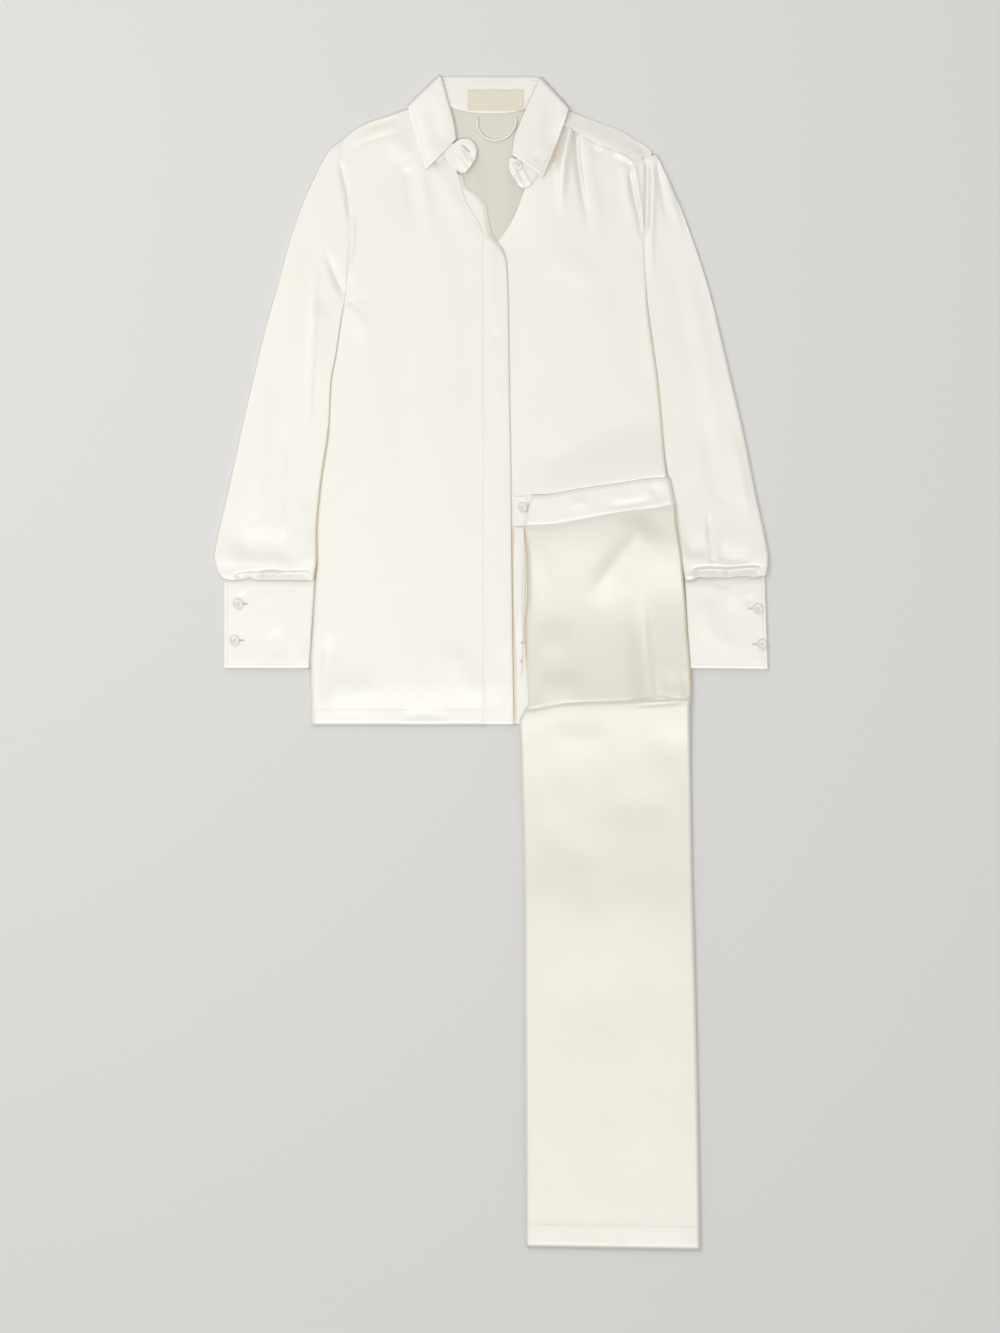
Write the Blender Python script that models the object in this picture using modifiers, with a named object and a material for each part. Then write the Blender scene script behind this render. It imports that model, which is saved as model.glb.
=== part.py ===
"""Pyjama set in silk satin, laid out flat: a long shirt with a turned-down collar, a concealed
placket and full sleeves on deep cuffs, and wide trousers folded lengthwise over its right front.

Metres, +Z up. The set lies on the plane z = 0 with its collar towards +Y, and the origin is under
the middle of its box. Left and right are those of someone who looks down on it. Tables are in mm.
"""

import math

import bmesh
import bpy
import numpy as np
from mathutils import Vector

MM = 0.001

# Cloth, as the solids hold it: one layer, a layer with interfacing, and the room left at a seam.
CLOTH = 1.2
FIRM_CLOTH = 1.6
SEAM = 0.3

# Heights of the middle of each wall above the table.
ON_TABLE = CLOTH / 2
FRONT_LEVEL = 4.8
PRESSED_LEVEL = 3.0
UNDERLAP_LEVEL = 2.1
PLACKET_LEVELS = {"outer": 5.1, "inner": 3.6}
OPEN_PLACKET_LEVELS = {"outer": 3.6, "inner": 2.1}
NECK_LEVEL = 2.4
STAND_BACK_LEVEL = 2.7
STAND_FRONT_LEVEL = 6.6
LEAF_TOP_LEVEL = 8.7
LEAF_EDGE_LEVEL = 7.1

# Landmarks of the shirt.
HEM_Y = -74.4
UNDERARM_Y = 442.0
YOKE_BACK_Y = 548.0
YOKE_END = {"left": -178.2, "right": 183.4}
PLACKET_SEAM_X = -8.4
SIDE_ROLL = 6.0

CUFF_WALL = 1.4
HIDDEN_LAYERS = 4.0

BUTTON_RADIUS = 6.2
COLLAR_BUTTON_RADIUS = 5.0
BUTTON_THICKNESS = 2.4


class Table:
    """Rows with named columns. Between rows, each column is read along a curve that never overshoots."""

    def __init__(self, columns, *rows):
        ordered = np.array(sorted(rows), float)
        self.keys = ordered[:, 0]
        self.values = dict(zip(columns.split()[1:], ordered[:, 1:].T))

    def __call__(self, column, at):
        keys, values = self.keys, self.values[column]
        step = np.diff(keys)
        rise = np.diff(values) / step
        both = rise[:-1] + rise[1:]
        slope = np.concatenate([rise[:1], np.zeros(len(rise) - 1), rise[-1:]])
        same_way = rise[:-1] * rise[1:] > 0
        slope[1:-1][same_way] = (2 * rise[:-1] * rise[1:])[same_way] / both[same_way]
        i = np.clip(np.searchsorted(keys, at) - 1, 0, len(step) - 1)
        t = np.clip((at - keys[i]) / step[i], 0, 1)
        eased = t * t * (3 - 2 * t)
        bend = slope[i] * t * (1 - t) ** 2 - slope[i + 1] * t * t * (1 - t)
        return values[i] + (values[i + 1] - values[i]) * eased + step[i] * bend


# Side edges of the shirt's body from the hem up to the underarm.
BODY_SIDES = Table(
    "y left right",
    (-75, -216.6, 236.0),
    (-5, -217.0, 235.5),
    (37, -214.6, 232.5),
    (75, -212.4, 229.5),
    (100, -210.6, 226.5),
    (120, -208.6, 224.0),
    (150, -209.0, 220.5),
    (207, -205.0, 214.5),
    (243, -200.0, 209.0),
    (273, -195.5, 206.5),
    (339, -192.0, 200.5),
    (365, -187.0, 197.0),
    (412, -180.0, 190.5),
    (442, -174.6, 187.0),
)
# Armhole seams: a chord from the underarm to the shoulder, and how far it bows towards the body.
ARMHOLES = {
    "left": {"x_low": -174.6, "x_high": -178.4, "y_high": 627.0, "bow": 9.5},
    "right": {"x_low": 187.0, "x_high": 183.4, "y_high": 606.0, "bow": -2.5},
}
# Outermost edge of the yoke where it folds over the shoulder, and the seam below it on the fronts.
SHOULDERS = Table(
    "x fold seam",
    (-179, 628.0, 598.0),
    (-167, 638.0, 612.0),
    (-151, 647.5, 625.0),
    (-120, 658.0, 633.0),
    (-102, 664.0, 640.0),
    (-70, 676.0, 650.0),
    (70, 673.0, 650.0),
    (98, 661.5, 639.0),
    (131, 648.5, 622.0),
    (155, 639.5, 613.0),
    (184, 626.0, 601.0),
)
NECK_SEAM = Table(
    "x y",
    (-70, 679.0),
    (-61, 670.2),
    (-52, 667.0),
    (-30, 660.4),
    (0, 659.0),
    (30, 660.2),
    (52, 666.0),
    (61, 668.8),
    (70, 677.0),
)
# Edge of the left front: the placket seam, then the roll line of the open neck up to the collar.
LEFT_FRONT_EDGE = Table(
    "y x",
    (-75, PLACKET_SEAM_X),
    (510, PLACKET_SEAM_X),
    (518, -10.8),
    (535, -19.0),
    (555, -31.0),
    (573, -36.0),
    (609, -47.0),
    (655, -62.0),
)
# The placket's own edges: its outer layer stops at the roll line, its inner layer shows past it.
PLACKET = Table(
    "y seam outer inner lift",
    (-73.5, -8.4, 28.4, 28.4, 0.0),
    (-40, -8.4, 27.6, 27.6, 0.0),
    (75, -8.4, 26.0, 26.0, 0.0),
    (210, -8.4, 24.6, 24.6, 0.0),
    (330, -8.4, 22.6, 22.6, 0.0),
    (447, -8.4, 20.8, 20.8, 0.0),
    (481, -8.4, 18.6, 19.6, 0.0),
    (495, -8.4, 12.0, 16.4, 0.0),
    (505, -8.4, 3.6, 9.6, 0.0),
    (514, -8.4, -4.0, 2.6, 0.5),
    (522, -11.4, -5.6, 0.2, 0.8),
    (531, -16.0, -7.2, -1.6, 1.0),
    (537, -21.0, -8.0, -2.6, 1.0),
    (549, -35.0, -10.4, -5.0, 1.0),
    (560, -41.0, -18.4, -13.0, 1.0),
    (573, -46.0, -35.0, -29.6, 1.0),
    (586, -50.0, -38.0, -33.0, 1.0),
)
# Edge of the right front: hidden under the placket, then the open side of the neck.
RIGHT_FRONT_EDGE = Table(
    "y x",
    (-75, -4.0),
    (470, -4.0),
    (495, 1.5),
    (508, 11.0),
    (538, 29.0),
    (562, 38.0),
    (600, 50.0),
    (655, 62.0),
)
# Sleeves, a row for each section from the armhole to the cuff: the outer fold of the flattened tube,
# where its inner fold lies along the body's side, how far clear of it, how far the section bows
# towards the body, its height and the share of gathers.
LEFT_SLEEVE = Table(
    "row outer_x outer_y inner_y clear bow height gathers",
    (0, -179.0, 627.2, 442.0, 0.7, 9.5, 5.4, 0.0),
    (1, -193.0, 616.0, 433.0, 1.5, 7.0, 5.6, 0.0),
    (2, -208.0, 590.0, 418.0, 1.6, 4.0, 5.8, 0.0),
    (3, -224.0, 555.0, 398.0, 1.6, 2.0, 6.0, 0.0),
    (4, -241.0, 507.0, 365.0, 1.6, 0.0, 6.0, 0.0),
    (5, -254.0, 459.0, 335.0, 1.6, 0.0, 6.0, 0.0),
    (6, -268.0, 411.0, 300.0, 2.2, 0.0, 6.0, 0.0),
    (7, -283.0, 350.0, 268.0, 2.4, 0.0, 6.0, 0.0),
    (8, -300.0, 277.0, 222.0, 1.6, 0.0, 6.0, 0.0),
    (9, -317.0, 200.0, 170.0, 1.6, 0.0, 6.2, 0.2),
    (10, -328.0, 152.0, 143.0, 1.6, 0.0, 7.4, 0.7),
    (11, -332.7, 126.0, 125.0, 1.7, 0.0, 8.2, 1.0),
    (12, -330.0, 113.5, 113.5, 1.9, 0.0, 7.4, 1.0),
    (13, -325.0, 106.7, 106.2, 2.1, 0.0, 5.6, 0.6),
    (14, -320.2, 102.2, 101.2, 2.6, 0.0, 4.6, 0.0),
)
RIGHT_SLEEVE = Table(
    "row outer_x outer_y inner_y clear bow height gathers",
    (0, 185.0, 607.4, 442.0, 1.0, -2.5, 5.4, 0.0),
    (1, 197.0, 609.6, 432.0, 1.5, -1.6, 5.6, 0.0),
    (2, 208.0, 590.0, 414.0, 1.6, -1.0, 5.8, 0.0),
    (3, 224.0, 555.0, 392.0, 1.6, 0.0, 6.0, 0.0),
    (4, 242.0, 507.0, 358.0, 1.6, 0.0, 6.0, 0.0),
    (5, 258.0, 459.0, 330.0, 1.6, 0.0, 6.0, 0.0),
    (6, 271.0, 411.0, 300.0, 1.6, 0.0, 6.0, 0.0),
    (7, 285.4, 350.0, 262.0, 1.6, 0.0, 6.0, 0.0),
    (8, 302.6, 277.0, 220.0, 1.6, 0.0, 6.0, 0.0),
    (9, 318.0, 200.0, 172.0, 1.6, 0.0, 6.2, 0.2),
    (10, 328.6, 152.0, 143.0, 2.0, 0.0, 7.4, 0.7),
    (11, 332.7, 126.0, 125.0, 2.6, 0.0, 8.2, 1.0),
    (12, 332.0, 114.5, 113.0, 3.8, 0.0, 7.4, 1.0),
    (13, 330.4, 109.0, 105.4, 5.4, 0.0, 5.6, 0.6),
    (14, 328.4, 105.3, 101.5, 6.6, 0.0, 4.6, 0.0),
)
GATHERS = 9
GATHER_DEPTH = 1.1
# Cuffs by their corners: outer and inner side at the top (1) and at the bottom (0).
CUFF_COLUMNS = "end outer_x outer_y inner_x inner_y"
LEFT_CUFF = Table(CUFF_COLUMNS, (1, -320.4, 101.6, -213.4, 100.6), (0, -320.4, -6.2, -219.4, -6.2))
RIGHT_CUFF = Table(CUFF_COLUMNS, (1, 328.4, 104.6, 233.0, 100.8), (0, 332.2, -7.2, 239.2, -6.2))
CUFF_OVERLAP = 26.0
CUFF_BUTTONS = {
    "cuff_button_left_upper": (-303.6, 70.8),
    "cuff_button_left_lower": (-307.8, 27.0),
    "cuff_button_right_upper": (320.0, 65.2),
    "cuff_button_right_lower": (325.0, 22.2),
}
# Collar by stations from the front edge of each side to the middle of the back: its roll line, the
# free edge of the leaf, the neck seam of the stand, and the turn, which is 0 on the fronts, 0.5 at
# the shoulder fold and 1 at the back.
COLLAR_COLUMNS = "station roll_x roll_y free_x free_y seam_x seam_y turn"
LEFT_COLLAR = Table(
    COLLAR_COLUMNS,
    (0, -42.0, 628.4, -78.0, 591.6, -47.5, 595.6, 0.0),
    (1, -43.6, 642.0, -84.0, 611.0, -57.0, 611.5, 0.0),
    (2, -46.6, 656.0, -90.0, 632.0, -62.0, 632.0, 0.0),
    (3, -52.6, 676.0, -96.0, 653.0, -65.4, 653.0, 0.0),
    (4, -59.2, 701.2, -98.8, 665.0, -66.4, 665.0, 0.0),
    (5, -59.2, 701.4, -98.8, 665.2, -66.2, 667.4, 0.25),
    (6, -59.2, 701.6, -98.8, 665.4, -65.8, 669.4, 0.5),
    (7, -58.8, 702.0, -98.4, 665.2, -64.4, 671.4, 0.75),
    (8, -58.0, 702.4, -97.6, 664.8, -61.0, 672.4, 1.0),
    (9, -46.0, 703.4, -78.0, 656.0, -46.0, 666.0, 1.0),
    (10, -24.0, 703.4, -36.0, 650.0, -24.0, 660.6, 1.0),
    (11, 0.0, 703.4, 0.0, 648.4, 0.0, 659.6, 1.0),
)
RIGHT_COLLAR = Table(
    COLLAR_COLUMNS,
    (0, 25.6, 609.6, 62.2, 582.4, 50.0, 576.5, 0.0),
    (1, 27.6, 627.0, 71.0, 604.0, 58.5, 592.0, 0.0),
    (2, 35.0, 648.0, 80.0, 627.0, 62.6, 614.0, 0.0),
    (3, 44.4, 670.0, 88.0, 649.0, 65.0, 640.0, 0.0),
    (4, 57.4, 698.4, 92.2, 662.6, 66.0, 661.0, 0.0),
    (5, 57.4, 698.6, 92.2, 662.8, 65.8, 663.6, 0.25),
    (6, 57.4, 699.2, 92.2, 663.0, 65.4, 666.0, 0.5),
    (7, 57.0, 700.6, 91.8, 662.8, 63.8, 668.6, 0.75),
    (8, 56.0, 702.2, 91.0, 662.4, 60.4, 671.0, 1.0),
    (9, 45.0, 703.4, 74.0, 655.0, 46.0, 665.6, 1.0),
    (10, 24.0, 703.4, 36.0, 650.0, 24.0, 660.6, 1.0),
    (11, 0.0, 703.4, 0.0, 648.4, 0.0, 659.6, 1.0),
)
# Rounded ends of the stand past the leaf's front edges.
TAB_COLUMNS = "station top_x top_y seam_x seam_y"
LEFT_TAB = Table(
    TAB_COLUMNS,
    (-4, -18.8, 604.6, -27.8, 591.0),
    (-3, -17.8, 617.6, -31.0, 588.4),
    (-2, -24.4, 627.2, -35.6, 588.2),
    (-1, -36.0, 628.4, -41.0, 590.8),
)
RIGHT_TAB = Table(
    TAB_COLUMNS,
    (-4, 25.6, 583.6, 33.4, 572.6),
    (-3, 23.0, 590.4, 36.6, 570.0),
    (-2, 21.4, 600.0, 40.5, 569.8),
    (-1, 23.6, 606.4, 45.0, 572.2),
)
# The leaf's inner edge in section, on the fronts and at the back of the neck: how far each point lies
# in from the roll line, and how far it has turned over from the stand's level to the leaf's own.
LEAF_ROLL = Table(
    "point front_in back_in over",
    (0, 5.5, 11.8, 0.0),
    (1, 2.2, 3.0, 0.0),
    (2, 0.0, 0.0, 0.5),
    (3, 2.2, 3.0, 1.0),
)
LEAF_SHARES = (0, 0, 0, 0, 0.4, 0.8, 1.0)
STRIP_GAP = 1.8
# Direction across the shoulder folds of the collar, away from the neck.
FOLD_OUT = (0.68, 0.73)
# Label and hanger loop inside the neck.
LABEL = {"x": (-28.0, 39.0), "y": (663.0, 687.6), "wall": 1.0}
LOOP = Table(
    "point x y",
    (0, -16.0, 655.0),
    (1, -16.6, 646.0),
    (2, -12.0, 635.0),
    (3, -3.0, 628.5),
    (4, 6.0, 627.0),
    (5, 17.0, 630.0),
    (6, 26.0, 638.5),
    (7, 29.6, 647.0),
    (8, 30.0, 655.0),
)
LOOP_RADIUS = 1.2
# Side edges of the trousers, and the top of what they rest on: the shirt, then the table.
TROUSER_SIDES = Table(
    "y left right",
    (224, 44.0, 213.0),
    (190, 44.0, 217.6),
    (160, 40.4, 219.6),
    (123, 43.0, 224.0),
    (82, 43.4, 227.6),
    (40, 40.4, 231.6),
    (0, 42.0, 235.6),
    (-30, 44.4, 236.8),
    (-50, 45.0, 237.2),
    (-58, 41.0, 238.0),
    (-72, 34.4, 238.2),
    (-94, 35.4, 238.6),
    (-150, 37.2, 239.6),
    (-261, 40.0, 241.4),
    (-405, 40.6, 245.4),
    (-549, 41.2, 248.4),
    (-704, 41.8, 250.6),
)
TROUSER_REST = Table("y z", (224, 3.9), (-92, 3.9), (-124, 0.0), (-704, 0.0))
# The tuck across the trousers, and the top of the visible leg by how far it lies above the tuck.
TUCK = Table("x y", (34, -58.0), (47, -56.4), (95, -48.6), (197, -44.8), (240, -42.4))
LEG_TOP = Table(
    "above z",
    (300, 9.4),
    (90, 9.3),
    (45, 8.8),
    (20, 8.2),
    (6, 7.6),
    (2, 7.8),
    (-2, 11.2),
    (-8, 11.6),
    (-22, 10.6),
    (-44, 9.0),
    (-64, 7.4),
    (-98, 5.8),
    (-200, 5.4),
    (-700, 5.4),
)
LEG_HEM = {"left": -701.0, "right": -704.3}
LEG_COLUMNS = 17
# Rows of the trousers: 0 at the waist seam, 1 at the tuck and 2 at the hem.
LEG_ROWS = (0, 0.07, 0.14, 0.21, 0.28, 0.35, 0.42, 0.49, 0.56, 0.63, 0.7, 0.77, 0.84, 0.91, 0.96, 0.991)
LEG_ROWS += (1.003, 1.012, 1.034, 1.067, 1.098, 1.15, 1.25, 1.4, 1.6, 1.8, 2)
# Waist seam and waistband top, both slanting up to the right.
WAIST = Table(
    "x seam top",
    (28, 163.2, 200.0),
    (67, 164.6, 201.4),
    (103, 170.4, 208.0),
    (158, 180.4, 216.0),
    (195, 184.6, 221.4),
    (220, 189.2, 222.6),
)
WAISTBAND_END = {"top_x": 49.0, "bottom_x": 40.0}
FLY_STRIP = Table(
    "y left right",
    (163, 29.0, 43.0),
    (113, 27.8, 43.6),
    (79, 27.8, 43.6),
    (48, 29.0, 42.0),
    (10, 31.0, 38.0),
    (-14, 31.6, 36.0),
)
# The hidden layers' edge in section: three layers from the top down, as a share of the height and an
# inset.
LAYER_EDGE = Table(
    "down inset",
    (0.0, 1.6),
    (0.12, 0.7),
    (0.33, 1.9),
    (0.5, 0.5),
    (0.67, 1.5),
    (0.88, 0.0),
    (1.0, 0.8),
)
WAIST_BUTTON = (37.4, 186.6)

# The largest soft ridges (above 0) and troughs (below 0): x and y of both ends, half-width and height.
RIGHT_FRONT_FOLDS = ((102, 660, 97, 585, 6, 1.2), (112, 640, 122, 520, 9, -1.2))
TROUSER_FOLDS = (
    (196, 156, 118, 74, 15, -1.6),
    (188, 45, 192, -60, 13, -1.8),
    (70, 60, 92, -40, 22, -0.9),
)
SLEEVE_FOLDS = {
    "left": ((-202, 515, -172, 438, 7, -1.6),),
    "right": ((190, 600, 187, 505, 6, -1.6),),
}

COLOURS = {
    "satin": (0.90, 0.87, 0.79, 1.0),
    "label": (0.74, 0.69, 0.58, 1.0),
    "button": (0.84, 0.80, 0.70, 1.0),
}


def smooth_step(value):
    t = np.clip(value, 0, 1)
    return t * t * (3 - 2 * t)


def folds(table, x, y):
    """How far the folds of a table lift the cloth at a place; each one fades out towards its ends."""
    lift = np.zeros_like(x)
    for row in table:
        x0, y0, x1, y1, width, height = row
        length = math.hypot(x1 - x0, y1 - y0)
        along = ((x - x0) * (x1 - x0) + (y - y0) * (y1 - y0)) / length
        off = ((x - x0) * (y1 - y0) - (y - y0) * (x1 - x0)) / length
        fade = 0.3 * length
        ends = smooth_step(along / fade + 0.2) * smooth_step((length - along) / fade + 0.2)
        lift += height * np.exp(-((off / width) ** 2)) * ends
    return lift


def rolled_edge(distance, drop, radius=SIDE_ROLL):
    """How far cloth sinks towards an edge where it turns over, in a quarter round."""
    t = np.clip(distance / radius, 0, 1)
    return drop * (1 - np.sqrt(1 - (1 - t) ** 2))


def crowded(count):
    """Shares from 0 to 1 that lie closer together towards both ends."""
    return (1 - np.cos(np.linspace(0, math.pi, count))) / 2


def mix(a, b, share):
    return a + (b - a) * share


def new_object(name, mesh, slot):
    bpy.data.meshes[mesh.name].materials.append(material(slot))
    piece = bpy.data.objects.new(name, mesh)
    collection().objects.link(piece)
    return piece


def collection():
    name = "Pyjama set"
    if name not in bpy.data.collections:
        bpy.context.scene.collection.children.link(bpy.data.collections.new(name))
    return bpy.data.collections[name]


def material(slot):
    if slot in bpy.data.materials:
        return bpy.data.materials[slot]
    made = bpy.data.materials.new(slot)
    made.use_nodes = True
    surface = made.node_tree.nodes["Principled BSDF"]
    surface.inputs["Base Color"].default_value = COLOURS[slot]
    surface.inputs["Roughness"].default_value = 0.42
    return made


def grid(columns, rows, place):
    """A grid of faces with a row for each of rows; place gives x, y and z in mm for whole arrays."""
    bm = bmesh.new()
    across, along = len(columns) - 1, len(rows) - 1
    bmesh.ops.create_grid(bm, x_segments=across, y_segments=along, size=0.5)
    verts = list(bm.verts)
    i = np.array([round((v.co.x + 0.5) * across) for v in verts])
    j = np.array([round((v.co.y + 0.5) * along) for v in verts])
    placed = place(np.asarray(columns)[i], np.asarray(rows)[j])
    points = np.stack(np.broadcast_arrays(*placed), axis=1)
    for vert, point in zip(verts, points):
        vert.co = Vector(point) * MM
    return bm


def cloth(name, columns, rows, place, wall=CLOTH, slot="satin", keep=None):
    """A sheet of cloth: a grid that place shapes, and a wall of even thickness on both sides of it."""
    bm = grid(columns, rows, place)
    if keep is not None:
        gone = [face for face in bm.faces if not keep(face.calc_center_median() / MM)]
        bmesh.ops.delete(bm, geom=gone, context="FACES")
    bmesh.ops.remove_doubles(bm, verts=bm.verts, dist=0.02 * MM)
    bmesh.ops.recalc_face_normals(bm, faces=bm.faces)
    mesh = bpy.data.meshes.new(name)
    bm.to_mesh(mesh)
    bm.free()
    mesh.shade_smooth()
    piece = new_object(name, mesh, slot)
    solidify = piece.modifiers.new("Wall", "SOLIDIFY")
    solidify.thickness = wall * MM
    solidify.offset = 0
    return piece


def solid_from_rings(name, around, rows, place, slot="satin"):
    """A closed solid through rings: a grid rolled up, its seam merged and its two ends filled."""
    bm = grid(around, rows, place)
    bmesh.ops.remove_doubles(bm, verts=bm.verts, dist=0.02 * MM)
    ends = [edge for edge in bm.edges if edge.is_boundary]
    bmesh.ops.holes_fill(bm, edges=ends, sides=0)
    bmesh.ops.recalc_face_normals(bm, faces=bm.faces)
    mesh = bpy.data.meshes.new(name)
    bm.to_mesh(mesh)
    bm.free()
    return new_object(name, mesh, slot)


# ---------------------------------------------------------------- shirt body


def side_x(side, y):
    """The shirt's side edge: the side seam, then the armhole seam above the underarm."""
    hole = ARMHOLES[side]
    share = np.clip((y - UNDERARM_Y) / (hole["y_high"] - UNDERARM_Y), 0, 1)
    armhole = mix(hole["x_low"], hole["x_high"], share) + hole["bow"] * 4 * share * (1 - share)
    return np.where(y > UNDERARM_Y, armhole, BODY_SIDES(side, y))


def back():
    below = np.linspace(HEM_Y, UNDERARM_Y, 11)
    rows = np.concatenate([below, np.linspace(UNDERARM_Y + 26, YOKE_BACK_Y, 4)])

    def place(u, y):
        return mix(side_x("left", y), side_x("right", y), u), y, ON_TABLE

    cloth("shirt_back", np.linspace(0, 1, 5), rows, place)


def neck_level(x, y):
    """Height of the yoke's back: flat on the table, and raised over the collar near the neck."""
    near_neck = smooth_step((130 - np.abs(x)) / 28)
    return ON_TABLE + (NECK_LEVEL - ON_TABLE) * smooth_step((y - 606) / 34) * near_neck


def yoke():
    """From the back seam up to the neck, and over each shoulder down to the seam with the front."""
    half = (0.08, 0.22, 0.33, 0.395, 0.47, 0.58, 0.7, 0.82, 0.92, 1.0)
    across = [-share for share in reversed(half)] + list(half)
    neck_share = 0.34
    back_rows, fold_rows, front_rows = 6, 5, 3

    def place(share, row):
        end = np.where(share < 0, -YOKE_END["left"], YOKE_END["right"])
        x = share * end
        low, high = neck_level(x, 660.0), FRONT_LEVEL
        radius = (high - low) / 2
        crest = SHOULDERS("fold", x) - radius - CLOTH / 2
        in_neck = np.abs(share) < neck_share
        top = np.where(in_neck, NECK_SEAM("y", x) - SEAM, crest)
        y_back = mix(YOKE_BACK_Y + SEAM, top, np.clip(row / back_rows, 0, 1))
        angle = np.clip((row - back_rows) / fold_rows, 0, 1) * math.pi
        down = np.clip((row - back_rows - fold_rows) / front_rows, 0, 1)
        y_front = mix(crest, SHOULDERS("seam", x) + 0.45, down)
        y_over = np.where(down > 0, y_front, crest + radius * np.sin(angle))
        y = np.where(row <= back_rows, y_back, y_over)
        z = np.where(row <= back_rows, neck_level(x, y), high - radius * (1 + np.cos(angle)))
        left, right = (side_x(side, y) - YOKE_END[side] for side in ("left", "right"))
        return x + np.where(share < 0, left, right) * np.abs(share) ** 8, y, z

    def keep(centre):
        below_seam = centre.z < NECK_LEVEL + 0.05 and centre.y < float(NECK_SEAM("y", centre.x))
        return abs(centre.x) > 69 or below_seam

    cloth("shirt_yoke", across, range(back_rows + fold_rows + front_rows + 1), place, keep=keep)


FRONT_SPLIT_Y = 450.0
LEVEL_ROWS = (HEM_Y, -40, 40, 120, 190, 224, 238, 252, 310, 380)
NECK_ROWS = (0.0, 0.12, 0.225, 0.29, 0.36, 0.44, 0.56, 0.68, 0.84, 1.0)


def front_y(row, x):
    """Rows of a front: level ones up to the armhole, then shares of the way from there to the yoke."""
    return np.where(np.abs(row) > 1, row, mix(FRONT_SPLIT_Y, SHOULDERS("seam", x) - 0.45, row))


def below_arm(y):
    return smooth_step((UNDERARM_Y + 10 - y) / 30)


def front_left():
    def place(u, row):
        y = front_y(row, mix(YOKE_END["left"], -62.0, u))
        left, right = side_x("left", y), LEFT_FRONT_EDGE("x", y) - SEAM / 2
        x = mix(left, right, u)
        turned = rolled_edge(x - left, FRONT_LEVEL - UNDERLAP_LEVEL) * below_arm(y)
        over_placket = 0.3 * smooth_step((y - 495) / 25) * smooth_step((x - right + 45) / 30)
        return x, y, FRONT_LEVEL - turned + over_placket

    cloth("shirt_front_left", crowded(13), LEVEL_ROWS + NECK_ROWS, place)


def front_right():
    def place(u, row):
        y = front_y(row, mix(62.0, YOKE_END["right"], u))
        left, right = RIGHT_FRONT_EDGE("x", y), side_x("right", y)
        x = mix(left, right, u)
        free = smooth_step((y - 224) / 28)
        level = mix(PRESSED_LEVEL, FRONT_LEVEL + folds(RIGHT_FRONT_FOLDS, x, y), free)
        placket_x = mix(30.0, 4.0, smooth_step((y - 505) / 30))
        under_placket = smooth_step((placket_x + 26 - x) / 26) * smooth_step((550 - y) / 38)
        level = mix(level, UNDERLAP_LEVEL, under_placket)
        return x, y, level - rolled_edge(right - x, 1) * below_arm(y) * (level - UNDERLAP_LEVEL)

    cloth("shirt_front_right", crowded(14), LEVEL_ROWS + NECK_ROWS, place)


def placket():
    """Folded double at the front edge: outer layer, fold and inner layer with the buttonholes."""
    rows = np.concatenate([np.linspace(-73.5, 447, 8), np.linspace(470, 586, 14)])
    outer, fold, inner = 3, 4, 3

    def place(step, y):
        lift = PLACKET("lift", y)
        high = mix(PLACKET_LEVELS["outer"], OPEN_PLACKET_LEVELS["outer"], lift)
        low = mix(PLACKET_LEVELS["inner"], OPEN_PLACKET_LEVELS["inner"], lift)
        radius = (high - low) / 2
        seam, edge_out, edge_in = (PLACKET(column, y) for column in ("seam", "outer", "inner"))
        edge_out, edge_in = edge_out - radius - CLOTH / 2, edge_in - radius - CLOTH / 2
        angle = np.clip((step - outer) / fold, 0, 1) * math.pi
        x_out = mix(seam + SEAM / 2, edge_out, np.clip(step / outer, 0, 1))
        x_fold = mix(edge_out, edge_in, (1 - np.cos(angle)) / 2) + radius * np.sin(angle)
        x_in = mix(edge_in, seam + 1.0, np.clip((step - outer - fold) / inner, 0, 1))
        x = np.where(step <= outer, x_out, np.where(step <= outer + fold, x_fold, x_in))
        return x, y, mix(low, high, (1 + np.cos(angle)) / 2)

    cloth("shirt_placket", range(outer + fold + inner + 1), rows, place)


# ---------------------------------------------------------------- collar


STATIONS = np.arange(12)
COLLAR_SIDE = np.array([-1] * 11 + [0] + [1] * 11)


def collar_line(column):
    """A column of both collar tables: from the left front edge, round the back, to the right one."""
    return np.concatenate([LEFT_COLLAR(column, STATIONS), RIGHT_COLLAR(column, STATIONS)[-2::-1]])


def collar_levels():
    """At each station: the level of the stand, that of the leaf, and the share of the fronts in it."""
    front = (1 + np.cos(math.pi * collar_line("turn"))) / 2
    return mix(STAND_BACK_LEVEL, STAND_FRONT_LEVEL, front), mix(ON_TABLE, LEAF_TOP_LEVEL, front), front


def shoulder_bulge(high, low):
    """How far a collar layer stands out, in x and y, where it turns over the shoulder."""
    out = (high - low) / 2 * np.sin(math.pi * collar_line("turn"))
    return FOLD_OUT[0] * out * COLLAR_SIDE, FOLD_OUT[1] * out


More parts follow.
